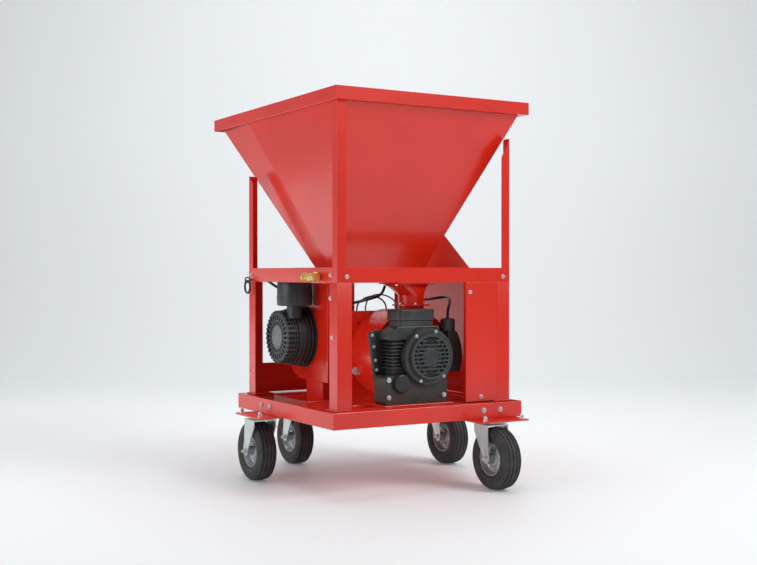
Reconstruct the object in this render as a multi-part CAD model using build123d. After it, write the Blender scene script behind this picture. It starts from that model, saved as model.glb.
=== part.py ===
from build123d import *
import os
from math import cos, sin, radians, sqrt, hypot, tan

# A red towable-by-hand wood chipper: a square post frame on four swivel casters carries a tall feed
# hopper over a knife drum, an engine bolted on the drum's front and a chip blower behind it.
# Everything is drawn from the frame's front left ground corner: x to the right along the front face,
# y to the back, z up, in millimetres. At the end it is moved so that the origin is at the bottom centre.

# Running, seating and drawing clearances
RUN = 0.05              # a shaft in its bore, on the radius
GAP = 2.0               # between a moving piece and a fixed one that it passes

# Post frame
POST_SQUARE = 820.0     # outer faces of the four posts, both ways
LOW_LEG, LOW_WALL = 65.0, 5.0       # lower posts, angle section
TOP_LEG, TOP_WALL = 40.0, 4.0       # upper posts, angle section
FOOT_PAD, FOOT_THICK = 92.0, 5.0    # plate welded under each lower post
BASE_MARGIN = 36.0      # base frame stands out past the posts
BASE_TOP, BASE_DEEP = 347.0, 65.0
BASE_WIDE, BASE_WALL = 100.0, 4.0
CROSS_WIDE = 60.0
CROSS_AT = (160.0, 382.0, 600.0)    # front edges of the cross members
RAIL_TOP, RAIL_HIGH = 902.0, 60.0   # ring of angle rails over the machinery
RAIL_WIDE, RAIL_WALL = 40.0, 5.0
BED_THICK = 5.0

# Hopper
RIM_LEFT, RIM_RIGHT, RIM_FRONT, RIM_BACK = -15.0, 908.0, -17.0, 1182.0
RIM_LOW, RIM_HIGH, RIM_WIDE, RIM_WALL = 1545.0, 52.0, 48.0, 3.0
SHEET = 3.0
MOUTH_LEFT, MOUTH_RIGHT, MOUTH_FRONT, MOUTH_BACK = 6.0, 870.0, 8.0, 1162.0
MOUTH_SLANT = 24.0      # the back left facet turns in by this much at the mouth
FOLD_AT = 842.0         # the fold line in the left wall starts here
NARROW_LEFT, NARROW_RIGHT, NARROW_FRONT, NARROW_BACK = 132.0, 555.0, 245.0, 457.0
NARROW_FOLD = 300.0
THROAT_X, THROAT_Y = 515.0, 290.0
THROAT_R, THROAT_WALL = 55.0, 4.0
FUNNEL_LOW = 838.0
FUNNEL_LEFT, FUNNEL_BACK = 432.0, 376.0
COLLAR_THICK, COLLAR_LIP = 5.0, 16.0
TAPER_LOW = 786.0
NIPPLE_Z, NIPPLE_R, NIPPLE_LONG = 768.0, 9.0, 12.0     # breather hose's nipple on the throat
FLANGE_R, FLANGE_THICK, FLANGE_TOP = 80.0, 7.0, 748.0
BRACE_AT, BRACE_FOOT, BRACE_HEAD = 250.0, 790.0, 1065.0
BRACE_LEG, BRACE_WALL = 38.0, 4.0

# Panels
FRONT_PANEL_LEFT = 599.0
SHIELD_HIGH, SHIELD_FOLD = 128.0, 48.0

# Knife drum and rotor, on the crank's axis
CRANK_X, CRANK_Z = 449.0, 541.0
DRUM_R, DRUM_WALL = 187.0, 5.0
DRUM_FRONT, DRUM_BACK, DRUM_PLATE = 168.0, 376.0, 6.0
CASING_LEFT, CASING_RIGHT, CASING_TOP, CASING_THICK = 215.0, 690.0, 720.0, 6.0
SHAFT_R = 15.0
SHAFT_FRONT, SHAFT_BACK = 36.0, 352.0
DISC_R, DISC_FRONT, DISC_THICK = 165.0, 328.0, 14.0
HUB_R, HUB_LONG = 38.0, 44.0
KNIVES, KNIFE_LONG, KNIFE_WIDE, KNIFE_THICK = 3, 96.0, 34.0, 8.0
PADDLE_DEEP, PADDLE_THICK = 22.0, 6.0
ANVIL_WIDE, ANVIL_HIGH = 96.0, 18.0
FAN_R, FAN_FRONT, FAN_DEEP = 84.0, 40.0, 12.0
PLUG_Y, PLUG_Z = 330.0, 470.0
BEARING_R, BEARING_LONG = 30.0, 12.0

# Engine
BLOCK_LEFT, BLOCK_RIGHT, BLOCK_FRONT, BLOCK_BACK = 252.0, 548.0, 62.0, 150.0
BLOCK_TOP, BLOCK_WALL = 468.0, 8.0
NECK_R = 118.0          # round crankcase body about the crank
BELL_LEFT, BELL_RIGHT, BELL_LOW, BELL_TOP = 270.0, 600.0, 372.0, 648.0
BELL_LEAN = 40.0        # its left edge leans out this far on the way up
COVER_R, COVER_FRONT, GRILLE_R, GRILLE_FRONT = 116.0, 42.0, 95.0, 26.0
COVER_WALL = 4.0
FIN_COUNT, FIN_PITCH, FIN_THICK = 8, 14.0, 4.0
FIN_LOW, FIN_LEFT = 496.0, 286.0
FILTER_LEFT, FILTER_RIGHT, FILTER_FRONT, FILTER_BACK = 317.0, 490.0, 62.0, 166.0
FILTER_LOW, FILTER_TOP = 664.0, 734.0
SHROUD_LOW, SHROUD_TOP = 612.0, 664.0
MUFFLER_LEFT, MUFFLER_R = 568.0, 188.0
MUFFLER_LOW, MUFFLER_TOP, MUFFLER_FRONT, MUFFLER_BACK = 470.0, 640.0, 84.0, 148.0
CAP_X, CAP_Y, CAP_Z, CAP_R, CAP_HIGH = 586.0, 116.0, 640.0, 31.0, 52.0
LID_X, LID_Z, LID_R, LID_DEEP = 325.0, 436.0, 38.0, 17.0

# Chip blower, on an axis along x
BLOWER_Y, BLOWER_Z = 620.0, 605.0
SCROLL_R, SCROLL_WALL = 188.0, 4.0
SCROLL_LEFT, SCROLL_RIGHT, SCROLL_FRONT = 170.0, 300.0, 398.0
SCROLL_TOP, SCROLL_STEP = 838.0, 30.0   # the square front part rises to just under the rails
CHUTE_BACK, CHUTE_LOW = 594.0, 300.0
EYE_R = 62.0
DUCT_RIGHT, DUCT_BACK, DUCT_LOW, DUCT_TOP = 420.0, 690.0, 535.0, 675.0
MOTOR_R, MOTOR_LEFT, MOTOR_RINGS = 134.0, 96.0, 4
FANCOVER_R, FANCOVER_LEFT = 106.0, 40.0
CANISTER_X, CANISTER_Y, CANISTER_R = 92.0, 552.0, 77.0
CANISTER_LOW, CANISTER_TOP, CANISTER_NECK = 741.0, 889.0, 34.0
BLOWER_SHAFT_R, IMPELLER_R = 11.0, 150.0

# Casters
WHEEL_R, TYRE_WIDE, RIM_R = 127.0, 84.0, 70.0
TRAIL = 36.0
AXLE_R, AXLE_HALF, AXLE_HEAD, AXLE_HEAD_R = 6.0, 70.0, 8.0, 11.0
LEG_THICK, LEG_GAP = 5.0, 6.0
YOKE_THICK, RACE_THICK, TOP_PLATE = 5.0, 6.0, 5.0
RED_PLATE, RED_LONG, RED_WIDE = 7.0, 240.0, 150.0
PIN_R = 8.0
# name, swivel x, swivel y, side of the frame that it hangs from, trail direction along y
CASTERS = (("left", -60.0, 570.0, "left", 1), ("front", 690.0, -50.0, "front", -1),
           ("back", 270.0, 870.0, "back", 1), ("right", 880.0, 590.0, "right", -1))

# Air coupler and lashing ring
COUPLER_Y, COUPLER_Z, COUPLER_R = 176.0, 864.0, 15.0
EYE_Y, EYE_Z, EYE_LOOP, EYE_WIRE, EYE_STAND = 790.0, 850.0, 11.0, 3.0, 10.0
RING_LOOP, RING_WIRE, RING_SLACK = 27.0, 4.5, 0.3
LEFT_BACK_POST = 1309.0  # top of the left back post, cut parallel to the hopper's back wall

BASE_LOW = BASE_TOP - BASE_DEEP
POST_FOOT = BASE_TOP + FOOT_THICK
RAIL_LOW = RAIL_TOP - RAIL_HIGH
BOLT_R, BOLT_HIGH = 7.0, 5.0


def block(x0, x1, y0, y1, z0, z1):
    """A rectangular block between two opposite corners."""
    return Pos((x0 + x1) / 2, (y0 + y1) / 2, (z0 + z1) / 2) * Box(x1 - x0, y1 - y0, z1 - z0)


def rod_x(y, z, radius, x0, x1):
    """A round bar along x."""
    return Pos((x0 + x1) / 2, y, z) * Rot(0, 90, 0) * Cylinder(radius, x1 - x0)


def rod_y(x, z, radius, y0, y1):
    """A round bar along y."""
    return Pos(x, (y0 + y1) / 2, z) * Rot(90, 0, 0) * Cylinder(radius, y1 - y0)


def rod_z(x, y, radius, z0, z1):
    """A round bar along z."""
    return Pos(x, y, (z0 + z1) / 2) * Cylinder(radius, z1 - z0)


def hexagon(axis, x, y, z, radius, length):
    """A hexagon head standing out from a point along an axis, such as "-y"."""
    turn = {"x": Rot(0, 90, 0), "-x": Rot(0, -90, 0), "y": Rot(-90, 0, 0), "-y": Rot(90, 0, 0),
            "z": Rot(0, 0, 0), "-z": Rot(180, 0, 0)}[axis]
    return Pos(x, y, z) * turn * extrude(RegularPolygon(radius, 6), length)


def screw(axis, x, y, z, radius=BOLT_R, length=BOLT_HIGH):
    """A hexagon head on its washer, seated on the surface at the point."""
    washer = 1.5
    turn = {"x": Rot(0, 90, 0), "-x": Rot(0, -90, 0), "y": Rot(-90, 0, 0), "-y": Rot(90, 0, 0),
            "z": Rot(0, 0, 0), "-z": Rot(180, 0, 0)}[axis]
    body = Pos(0, 0, washer / 2) * Cylinder(radius * 1.25, washer)
    body += Pos(0, 0, washer) * extrude(RegularPolygon(radius, 6), length)
    return Pos(x, y, z) * turn * body


def prism_x(outline, x0, x1):
    """A y-z outline drawn out along x."""
    face = make_face(Polyline(*[(0, y, z) for y, z in outline], close=True))
    return extrude(face, x1 - x0, dir=(1, 0, 0)).moved(Location((x0, 0, 0)))


def prism_y(outline, y0, y1):
    """An x-z outline drawn out along y."""
    face = make_face(Polyline(*[(x, 0, z) for x, z in outline], close=True))
    return extrude(face, y1 - y0, dir=(0, 1, 0)).moved(Location((0, y0, 0)))


def prism_z(outline, z0, z1):
    """An x-y outline drawn out along z."""
    face = make_face(Polyline(*[(x, y, 0) for x, y in outline], close=True))
    return extrude(face, z1 - z0, dir=(0, 0, 1)).moved(Location((0, 0, z0)))


def mitred(x0, x1, y0, y1, z0, z1, wide):
    """Four solid bars that meet at 45 degrees round a rectangle: left, right, front, back."""
    outer = ((x0, y0), (x1, y0), (x1, y1), (x0, y1))
    inner = ((x0 + wide, y0 + wide), (x1 - wide, y0 + wide), (x1 - wide, y1 - wide), (x0 + wide, y1 - wide))
    pairs = {"left": (3, 0), "right": (1, 2), "front": (0, 1), "back": (2, 3)}
    return {side: prism_z((outer[a], outer[b], inner[b], inner[a]), z0, z1) for side, (a, b) in pairs.items()}


def tube_frame(x0, x1, y0, y1, z0, z1, wide, wall):
    """Four mitred box tubes round a rectangle."""
    bars = mitred(x0, x1, y0, y1, z0, z1, wide)
    far, low, high = 1000.0, z0 + wall, z1 - wall
    bores = {
        "left": block(x0 + wall, x0 + wide - wall, y0 - far, y1 + far, low, high),
        "right": block(x1 - wide + wall, x1 - wall, y0 - far, y1 + far, low, high),
        "front": block(x0 - far, x1 + far, y0 + wall, y0 + wide - wall, low, high),
        "back": block(x0 - far, x1 + far, y1 - wide + wall, y1 - wall, low, high),
    }
    return [bars[side] - bores[side] for side in bars]


def angle_frame(x0, x1, y0, y1, z0, z1, wide, wall):
    """Four mitred angles round a rectangle, one leg upright outside and one flat on top."""
    bars = mitred(x0, x1, y0, y1, z0, z1, wide)
    far, low, high = 1000.0, z0 - wall, z1 - wall
    cuts = {
        "left": block(x0 + wall, x0 + 2 * wide, y0 - far, y1 + far, low, high),
        "right": block(x1 - 2 * wide, x1 - wall, y0 - far, y1 + far, low, high),
        "front": block(x0 - far, x1 + far, y0 + wall, y0 + 2 * wide, low, high),
        "back": block(x0 - far, x1 + far, y1 - 2 * wide, y1 - wall, low, high),
    }
    return [bars[side] - cuts[side] for side in bars]


def corner_angle(x, y, toward_x, toward_y, leg, wall, z0, z1):
    """An upright angle with its heel at a corner of the post square."""
    a = block(*sorted((x, x + toward_x * leg)), *sorted((y, y + toward_y * wall)), z0, z1)
    return a + block(*sorted((x, x + toward_x * wall)), *sorted((y, y + toward_y * leg)), z0, z1)


CORNERS = ((0.0, 0.0, 1, 1), (POST_SQUARE, 0.0, -1, 1), (0.0, POST_SQUARE, 1, -1),
           (POST_SQUARE, POST_SQUARE, -1, -1))


# ---- post frame ----

def make_base_rails():
    low, high = -BASE_MARGIN, POST_SQUARE + BASE_MARGIN
    return tube_frame(low, high, low, high, BASE_LOW, BASE_TOP, BASE_WIDE, BASE_WALL)


def make_cross_members():
    """Three tubes across the base, and the plate that the engine stands on."""
    left, right = BASE_WIDE - BASE_MARGIN, POST_SQUARE + BASE_MARGIN - BASE_WIDE
    members = []
    for start in CROSS_AT:
        end = start + CROSS_WIDE
        tube = block(left, right, start, end, BASE_LOW, BASE_TOP)
        members.append(tube - block(left, right, start + BASE_WALL, end - BASE_WALL,
                                    BASE_LOW + BASE_WALL, BASE_TOP - BASE_WALL))
    members.append(block(BLOCK_LEFT - 20, BLOCK_RIGHT + 20, BASE_MARGIN, CROSS_AT[0] + CROSS_WIDE,
                         BASE_TOP, BASE_TOP + BED_THICK))
    return members


def make_lower_posts():
    posts = []
    for x, y, tx, ty in CORNERS:
        post = corner_angle(x, y, tx, ty, LOW_LEG, LOW_WALL, POST_FOOT, RAIL_LOW)
        lip = 8.0
        pad = block(*sorted((x - tx * lip, x + tx * (FOOT_PAD - lip))),
                    *sorted((y - ty * lip, y + ty * (FOOT_PAD - lip))), BASE_TOP, POST_FOOT)
        posts.append(post + pad)
    return posts


def make_mid_rails():
    rails = angle_frame(0, POST_SQUARE, 0, POST_SQUARE, RAIL_LOW, RAIL_TOP, RAIL_WIDE, RAIL_WALL)
    hole = rod_x(COUPLER_Y, COUPLER_Z, COUPLER_R - 3, -RAIL_WALL, 2 * RAIL_WALL)
    rails[0] = rails[0] - hole
    return rails


def mouth_corners(inset=0.0):
    """The hopper's four mouth corners and the fold, outside or set in by a wall."""
    return {"near": (MOUTH_LEFT + inset, MOUTH_FRONT + inset), "right": (MOUTH_RIGHT - inset, MOUTH_FRONT + inset),
            "far": (MOUTH_RIGHT - inset, MOUTH_BACK - inset),
            "back": (MOUTH_LEFT + MOUTH_SLANT + inset, MOUTH_BACK - inset),
            "fold": (MOUTH_LEFT + inset, FOLD_AT)}


def narrow_corners(inset=0.0):
    """The same five corners at the bottom of the tall walls."""
    turn = MOUTH_SLANT * (NARROW_BACK - NARROW_FOLD) / (MOUTH_BACK - FOLD_AT)
    return {"near": (NARROW_LEFT + inset, NARROW_FRONT + inset), "right": (NARROW_RIGHT - inset, NARROW_FRONT + inset),
            "far": (NARROW_RIGHT - inset, NARROW_BACK - inset),
            "back": (NARROW_LEFT + turn + inset, NARROW_BACK - inset), "fold": (NARROW_LEFT + inset, NARROW_FOLD)}


def sloped_wall(top_out, top_in, low_out, low_in, ends, z_top, z_low):
    """One flat wall between two corners of a hopper, mitred at both."""
    points = []
    for corner in ends:
        points += [(*top_out[corner], z_top), (*top_in[corner], z_top)]
        points += [(*low_out[corner], z_low), (*low_in[corner], z_low)]
    return ConvexPolyhedron(points)


def make_hopper_walls():
    outside, inside = mouth_corners(), mouth_corners(SHEET)
    low_out, low_in = narrow_corners(), narrow_corners(SHEET)
    sides = (("near", "right"), ("right", "far"), ("far", "back"), ("back", "fold"), ("fold", "near"))
    return [sloped_wall(outside, inside, low_out, low_in, side, RIM_LOW, RAIL_TOP) for side in sides]


def right_wall_cut():
    """Everything above the hopper's right wall, which the right posts and the brace are cut back to."""
    reach = 3000.0
    high = NARROW_RIGHT + (MOUTH_RIGHT - NARROW_RIGHT) / (RIM_LOW - RAIL_TOP) * reach
    outline = ((NARROW_RIGHT, RAIL_TOP), (high, RAIL_TOP + reach), (-reach, RAIL_TOP + reach), (-reach, RAIL_TOP))
    return prism_y(outline, -reach, reach)


def left_back_cut():
    """Everything above the slanted top of the left back post."""
    reach = 3000.0
    slope = (MOUTH_BACK - NARROW_BACK) / (RIM_LOW - RAIL_TOP)
    outline = ((POST_SQUARE, LEFT_BACK_POST), (POST_SQUARE + slope * reach, LEFT_BACK_POST + reach),
               (-reach, LEFT_BACK_POST + reach), (-reach, RAIL_TOP),
               (POST_SQUARE - slope * (LEFT_BACK_POST - RAIL_TOP), RAIL_TOP))
    return prism_x(outline, -reach, reach)


def make_upper_posts():
    posts = []
    for x, y, tx, ty in CORNERS:
        post = corner_angle(x, y, tx, ty, TOP_LEG, TOP_WALL, RAIL_TOP, RIM_LOW)
        if x > 0:
            post = post - right_wall_cut()
        elif y > 0:
            post = post - left_back_cut()
        posts.append(post)
    return posts


def make_hopper_rim():
    return tube_frame(RIM_LEFT, RIM_RIGHT, RIM_FRONT, RIM_BACK, RIM_LOW, RIM_LOW + RIM_HIGH, RIM_WIDE, RIM_WALL)


def funnel_outlet(inset=0.0):
    """The funnel's small rectangle, round the throat."""
    left, right = FUNNEL_LEFT + inset, THROAT_X + THROAT_R - inset
    front, back = THROAT_Y - THROAT_R + inset, FUNNEL_BACK - inset
    return {"near": (left, front), "right": (right, front), "far": (right, back), "back": (left, back)}


def make_hopper_funnel():
    """Four shallow floor plates from the tall walls down to the outlet, with a bolting collar."""
    sides = (("near", "right"), ("right", "far"), ("far", "back"), ("back", "near"))
    plates = [sloped_wall(narrow_corners(), narrow_corners(SHEET), funnel_outlet(), funnel_outlet(SHEET),
                          side, RAIL_TOP, FUNNEL_LOW) for side in sides]
    return plates


def make_throat():
    """Collar, square-to-round taper, round tube and bottom flange, welded into one chute."""
    low, high = funnel_outlet()["near"], funnel_outlet()["far"]
    top = FUNNEL_LOW
    collar = block(low[0] - COLLAR_LIP, high[0] + COLLAR_LIP, low[1] - COLLAR_LIP, high[1] + COLLAR_LIP,
                   top - COLLAR_THICK, top)
    collar = collar - block(low[0] + SHEET, high[0] - SHEET, low[1] + SHEET, high[1] - SHEET,
                            top - 2 * COLLAR_THICK, top + 1)

    def taper(inset, top_z, low_z):
        square = Pos((low[0] + high[0]) / 2, (low[1] + high[1]) / 2, top_z) * RectangleRounded(
            high[0] - low[0] - 2 * inset, high[1] - low[1] - 2 * inset, 12.0)
        circle = Pos(THROAT_X, THROAT_Y, low_z) * Circle(THROAT_R - inset)
        return loft([square, circle])

    chute = taper(0.0, top - COLLAR_THICK, TAPER_LOW) - taper(THROAT_WALL, top - COLLAR_THICK, TAPER_LOW)
    tube = rod_z(THROAT_X, THROAT_Y, THROAT_R, FLANGE_TOP, TAPER_LOW)
    tube += rod_z(THROAT_X, THROAT_Y, FLANGE_R, FLANGE_TOP - FLANGE_THICK, FLANGE_TOP)
    tube += rod_x(THROAT_Y, NIPPLE_Z, NIPPLE_R, THROAT_X, THROAT_X + THROAT_R + NIPPLE_LONG)
    tube = tube - rod_z(THROAT_X, THROAT_Y, THROAT_R - THROAT_WALL, FLANGE_TOP - 2 * FLANGE_THICK, TAPER_LOW)
    return collar + chute + tube


def brace_wall_x(z):
    """Where the hopper's right wall stands at a height."""
    return NARROW_RIGHT + (MOUTH_RIGHT - NARROW_RIGHT) * (z - RAIL_TOP) / (RIM_LOW - RAIL_TOP)


def make_hopper_brace():
    """A sloping angle from the right rail up to the hopper wall, with a triangular web below it."""
    head, foot = brace_wall_x(BRACE_HEAD), BRACE_FOOT
    web = ((head, BRACE_HEAD), (foot, RAIL_TOP), (NARROW_RIGHT, RAIL_TOP))
    body = prism_y(web, BRACE_AT, BRACE_AT + BRACE_WALL)
    run, rise = foot - head, BRACE_HEAD - RAIL_TOP
    length = hypot(run, rise)
    nx, nz = rise / length * BRACE_WALL, run / length * BRACE_WALL
    strap = ((head, BRACE_HEAD), (foot, RAIL_TOP), (foot + nx * length / rise, RAIL_TOP),
             (head + nx, BRACE_HEAD + nz))
    strap_body = prism_y(strap, BRACE_AT, BRACE_AT + BRACE_LEG)
    return (body + strap_body) - right_wall_cut()


# ---- panels ----

def make_front_panel():
    right = POST_SQUARE - LOW_LEG
    lip = 18.0
    panel = block(FRONT_PANEL_LEFT, right, 0, SHEET, POST_FOOT, RAIL_LOW)
    panel += block(FRONT_PANEL_LEFT, FRONT_PANEL_LEFT + SHEET, SHEET, lip, POST_FOOT, RAIL_LOW)
    return panel - block(right - 10, right + 1, -1, SHEET + 1, BASE_TOP, POST_FOOT)


def make_side_panel():
    face = POST_SQUARE - LOW_WALL
    return block(face - SHEET, face, LOW_WALL + SHEET, face - SHEET, POST_FOOT, RAIL_LOW)


def make_rear_shield():
    face = POST_SQUARE - LOW_WALL
    top, fold = POST_FOOT + SHIELD_HIGH, POST_FOOT + SHIELD_FOLD
    lean = 22.0
    outline = ((face, POST_FOOT), (face, top), (face - SHEET, top), (face - SHEET, fold + lean),
               (face - lean, fold), (face - lean, POST_FOOT), (face - lean + SHEET, POST_FOOT),
               (face - lean + SHEET, fold - 1), (face - SHEET, fold + lean - 6), (face - SHEET, POST_FOOT))
    return prism_x(outline, LOW_WALL + SHEET, face - SHEET - GAP)


# ---- knife drum and its rotor ----

def make_drum_shell():
    drum = rod_y(CRANK_X, CRANK_Z, DRUM_R, DRUM_FRONT, DRUM_BACK)
    drum += rod_z(THROAT_X, THROAT_Y, THROAT_R, CRANK_Z, FLANGE_TOP - FLANGE_THICK)
    drum = drum - rod_y(CRANK_X, CRANK_Z, DRUM_R - DRUM_WALL, DRUM_FRONT + DRUM_PLATE, DRUM_BACK)
    drum = drum - rod_y(CRANK_X, CRANK_Z, BEARING_R, DRUM_FRONT, DRUM_BACK)
    return drum - rod_z(THROAT_X, THROAT_Y, THROAT_R - THROAT_WALL, CRANK_Z, FLANGE_TOP)


def make_casing_plate():
    """The flat plate behind the drum, standing on the middle cross member."""
    plate = block(CASING_LEFT, CASING_RIGHT, DRUM_BACK, DRUM_BACK + CASING_THICK, BASE_TOP, CASING_TOP)
    foot = 30.0
    plate += block(CASING_LEFT, CASING_RIGHT, DRUM_BACK + CASING_THICK, DRUM_BACK + CASING_THICK + foot,
                   BASE_TOP, BASE_TOP + CASING_THICK)
    window = block(SCROLL_RIGHT + SCROLL_WALL, DUCT_RIGHT - SCROLL_WALL, DRUM_BACK - 1,
                   DRUM_BACK + CASING_THICK + 1, DUCT_LOW + SCROLL_WALL, DUCT_TOP - SCROLL_WALL)
    return plate - window


def make_anvil():
    """The fixed counter-knife, a bar from the drum's front plate to just short of the knives."""
    start, end = DRUM_FRONT + DRUM_PLATE, DISC_FRONT - KNIFE_THICK - GAP
    low = CRANK_Z + HUB_R - ANVIL_HIGH
    left = CRANK_X + HUB_R + 4
    return block(left, left + ANVIL_WIDE, start, end, low, low + ANVIL_HIGH)


def make_drum_plug():
    """Clean-out plug in the drum's left side."""
    x = CRANK_X - sqrt(DRUM_R ** 2 - (CRANK_Z - PLUG_Z) ** 2)
    boss = rod_x(PLUG_Y, PLUG_Z, 16.0, x - 14.0, x + 30.0)
    boss = boss - rod_y(CRANK_X, CRANK_Z, DRUM_R, DRUM_FRONT, DRUM_BACK)
    return boss + hexagon("-x", x - 14.0, PLUG_Y, PLUG_Z, 11.0, 9.0)


def make_crankshaft():
    return rod_y(CRANK_X, CRANK_Z, SHAFT_R, SHAFT_FRONT, SHAFT_BACK)


def make_rotor_disc():
    """Knife disc with its hub and four throwing paddles on the back."""
    hub_start = DISC_FRONT + DISC_THICK / 2 - HUB_LONG / 2
    disc = rod_y(CRANK_X, CRANK_Z, DISC_R, DISC_FRONT, DISC_FRONT + DISC_THICK)
    disc += rod_y(CRANK_X, CRANK_Z, HUB_R, hub_start, DISC_FRONT + DISC_THICK + PADDLE_DEEP / 2)
    for n in range(4):
        paddle = block(HUB_R - 4, DISC_R - 6, DISC_FRONT + DISC_THICK, DISC_FRONT + DISC_THICK + PADDLE_DEEP,
                       -PADDLE_THICK / 2, PADDLE_THICK / 2)
        disc += Pos(CRANK_X, 0, CRANK_Z) * Rot(0, 90 * n + 45, 0) * paddle
    return disc - rod_y(CRANK_X, CRANK_Z, SHAFT_R, SHAFT_FRONT, SHAFT_BACK)


def make_rotor_knives():
    knives = []
    for n in range(KNIVES):
        knife = block(HUB_R + 14, HUB_R + 14 + KNIFE_LONG, DISC_FRONT - KNIFE_THICK, DISC_FRONT,
                      -KNIFE_WIDE / 2, KNIFE_WIDE / 2)
        edge = chamfer(knife.edges().filter_by(Axis.X).group_by(Axis.Y)[0].sort_by(Axis.Z)[-1:], KNIFE_THICK * 0.7)
        knives.append(Pos(CRANK_X, 0, CRANK_Z) * Rot(0, 360 / KNIVES * n, 0) * edge)
    return knives


def make_flywheel_fan():
    fan = rod_y(CRANK_X, CRANK_Z, FAN_R, FAN_FRONT + FAN_DEEP / 2, FAN_FRONT + FAN_DEEP)
    fan += rod_y(CRANK_X, CRANK_Z, SHAFT_R * 1.8, FAN_FRONT, FAN_FRONT + FAN_DEEP)
    blades = 12
    for n in range(blades):
        blade = block(SHAFT_R * 2, FAN_R - 4, FAN_FRONT, FAN_FRONT + FAN_DEEP / 2, -1.5, 1.5)
        fan += Pos(CRANK_X, 0, CRANK_Z) * Rot(0, 360 / blades * n, 0) * blade
    return fan - rod_y(CRANK_X, CRANK_Z, SHAFT_R, SHAFT_FRONT, SHAFT_BACK)


def make_bearings():
    """Two crank bearings and two blower bearings, as plain rings."""
    rings = []
    for start in (BLOCK_FRONT, BLOCK_BACK - BEARING_LONG):
        ring = rod_y(CRANK_X, CRANK_Z, BEARING_R, start, start + BEARING_LONG)
        rings.append(ring - rod_y(CRANK_X, CRANK_Z, SHAFT_R + RUN, start, start + BEARING_LONG))
    for start in (MOTOR_LEFT + 8, SCROLL_LEFT - BEARING_LONG):
        ring = rod_x(BLOWER_Y, BLOWER_Z, BEARING_R, start, start + BEARING_LONG)
        rings.append(ring - rod_x(BLOWER_Y, BLOWER_Z, BLOWER_SHAFT_R + RUN, start, start + BEARING_LONG))
    return rings


# ---- engine ----

def make_crankcase():
    """Sump, round crank body and the flange that bolts to the drum."""
    sump = fillet(block(BLOCK_LEFT, BLOCK_RIGHT, BLOCK_FRONT, BLOCK_BACK, BASE_TOP + BED_THICK, BLOCK_TOP)
                  .edges().filter_by(Axis.Y), 14.0)
    case = sump + rod_y(CRANK_X, CRANK_Z, NECK_R, BLOCK_FRONT, BLOCK_BACK)
    corner = 46.0
    flange = ((BELL_LEFT, BELL_LOW), (BELL_RIGHT - corner, BELL_LOW), (BELL_RIGHT, BELL_LOW + corner),
              (BELL_RIGHT, BELL_TOP - corner), (BELL_RIGHT - corner, BELL_TOP),
              (BELL_LEFT - BELL_LEAN + 24, BELL_TOP), (BELL_LEFT - BELL_LEAN, BELL_TOP - 14))
    case += prism_y(flange, BLOCK_BACK, DRUM_FRONT)
    case = case - rod_y(CRANK_X, CRANK_Z, NECK_R - BLOCK_WALL * 2, BLOCK_FRONT + BEARING_LONG + 4,
                        BLOCK_BACK - BEARING_LONG - 4)
    for start in (BLOCK_FRONT, BLOCK_BACK - BEARING_LONG):
        case = case - rod_y(CRANK_X, CRANK_Z, BEARING_R, start, start + BEARING_LONG)
    return case - rod_y(CRANK_X, CRANK_Z, SHAFT_R + GAP, SHAFT_FRONT, DRUM_FRONT + 1)


def make_cylinder():
    """Cooling fins round the cylinder, to the left of the crank."""
    right, front, back = CRANK_X - NECK_R + 18, BLOCK_FRONT + 10, BLOCK_BACK
    body = block(FIN_LEFT + 14, right, front + 12, back, BLOCK_TOP, SHROUD_LOW)
    for n in range(FIN_COUNT):
        low = FIN_LOW + n * FIN_PITCH
        body += block(FIN_LEFT, right, front, back, low, low + FIN_THICK)
    return body - rod_y(CRANK_X, CRANK_Z, NECK_R, front - 1, back + 1)


def make_engine_shroud():
    """Angular cowl over the cylinder, rising under the air filter."""
    left, right = BELL_LEFT, CRANK_X + 60
    outline = ((left, SHROUD_LOW), (left, SHROUD_LOW + 22), (left + 44, SHROUD_TOP), (right, SHROUD_TOP),
               (right, SHROUD_LOW))
    cowl = prism_y(outline, BLOCK_FRONT, BLOCK_BACK)
    return cowl - rod_y(CRANK_X, CRANK_Z, NECK_R, BLOCK_FRONT - 1, BLOCK_BACK + 1)


def make_starter_cover():
    """Deep round cover over the flywheel fan, with a slotted front grille."""
    cover = rod_y(CRANK_X, CRANK_Z, COVER_R, COVER_FRONT, BLOCK_FRONT)
    cover += rod_y(CRANK_X, CRANK_Z, GRILLE_R, GRILLE_FRONT, COVER_FRONT)
    cover = cover - rod_y(CRANK_X, CRANK_Z, GRILLE_R - COVER_WALL, GRILLE_FRONT + COVER_WALL, BLOCK_FRONT)
    slots = 7
    for n in range(slots):
        z = CRANK_Z + (n - (slots - 1) / 2) * 20.0
        half = sqrt((GRILLE_R - 14) ** 2 - (z - CRANK_Z) ** 2)
        inner = sqrt(max(0.0, 34.0 ** 2 - (z - CRANK_Z) ** 2))
        for side in (-1, 1):
            ends = sorted((CRANK_X + side * (inner + 4), CRANK_X + side * half))
            cover = cover - block(*ends, GRILLE_FRONT - 1, GRILLE_FRONT + COVER_WALL + 1, z - 4, z + 4)
    return cover


def make_air_filter_box():
    lid = block(FILTER_LEFT, FILTER_RIGHT, FILTER_FRONT, FILTER_BACK, FILTER_LOW, FILTER_TOP)
    lid = fillet(lid.edges().filter_by(Axis.Z), 12.0)
    return fillet(lid.faces().sort_by(Axis.Z)[-1].edges(), 6.0)


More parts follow.
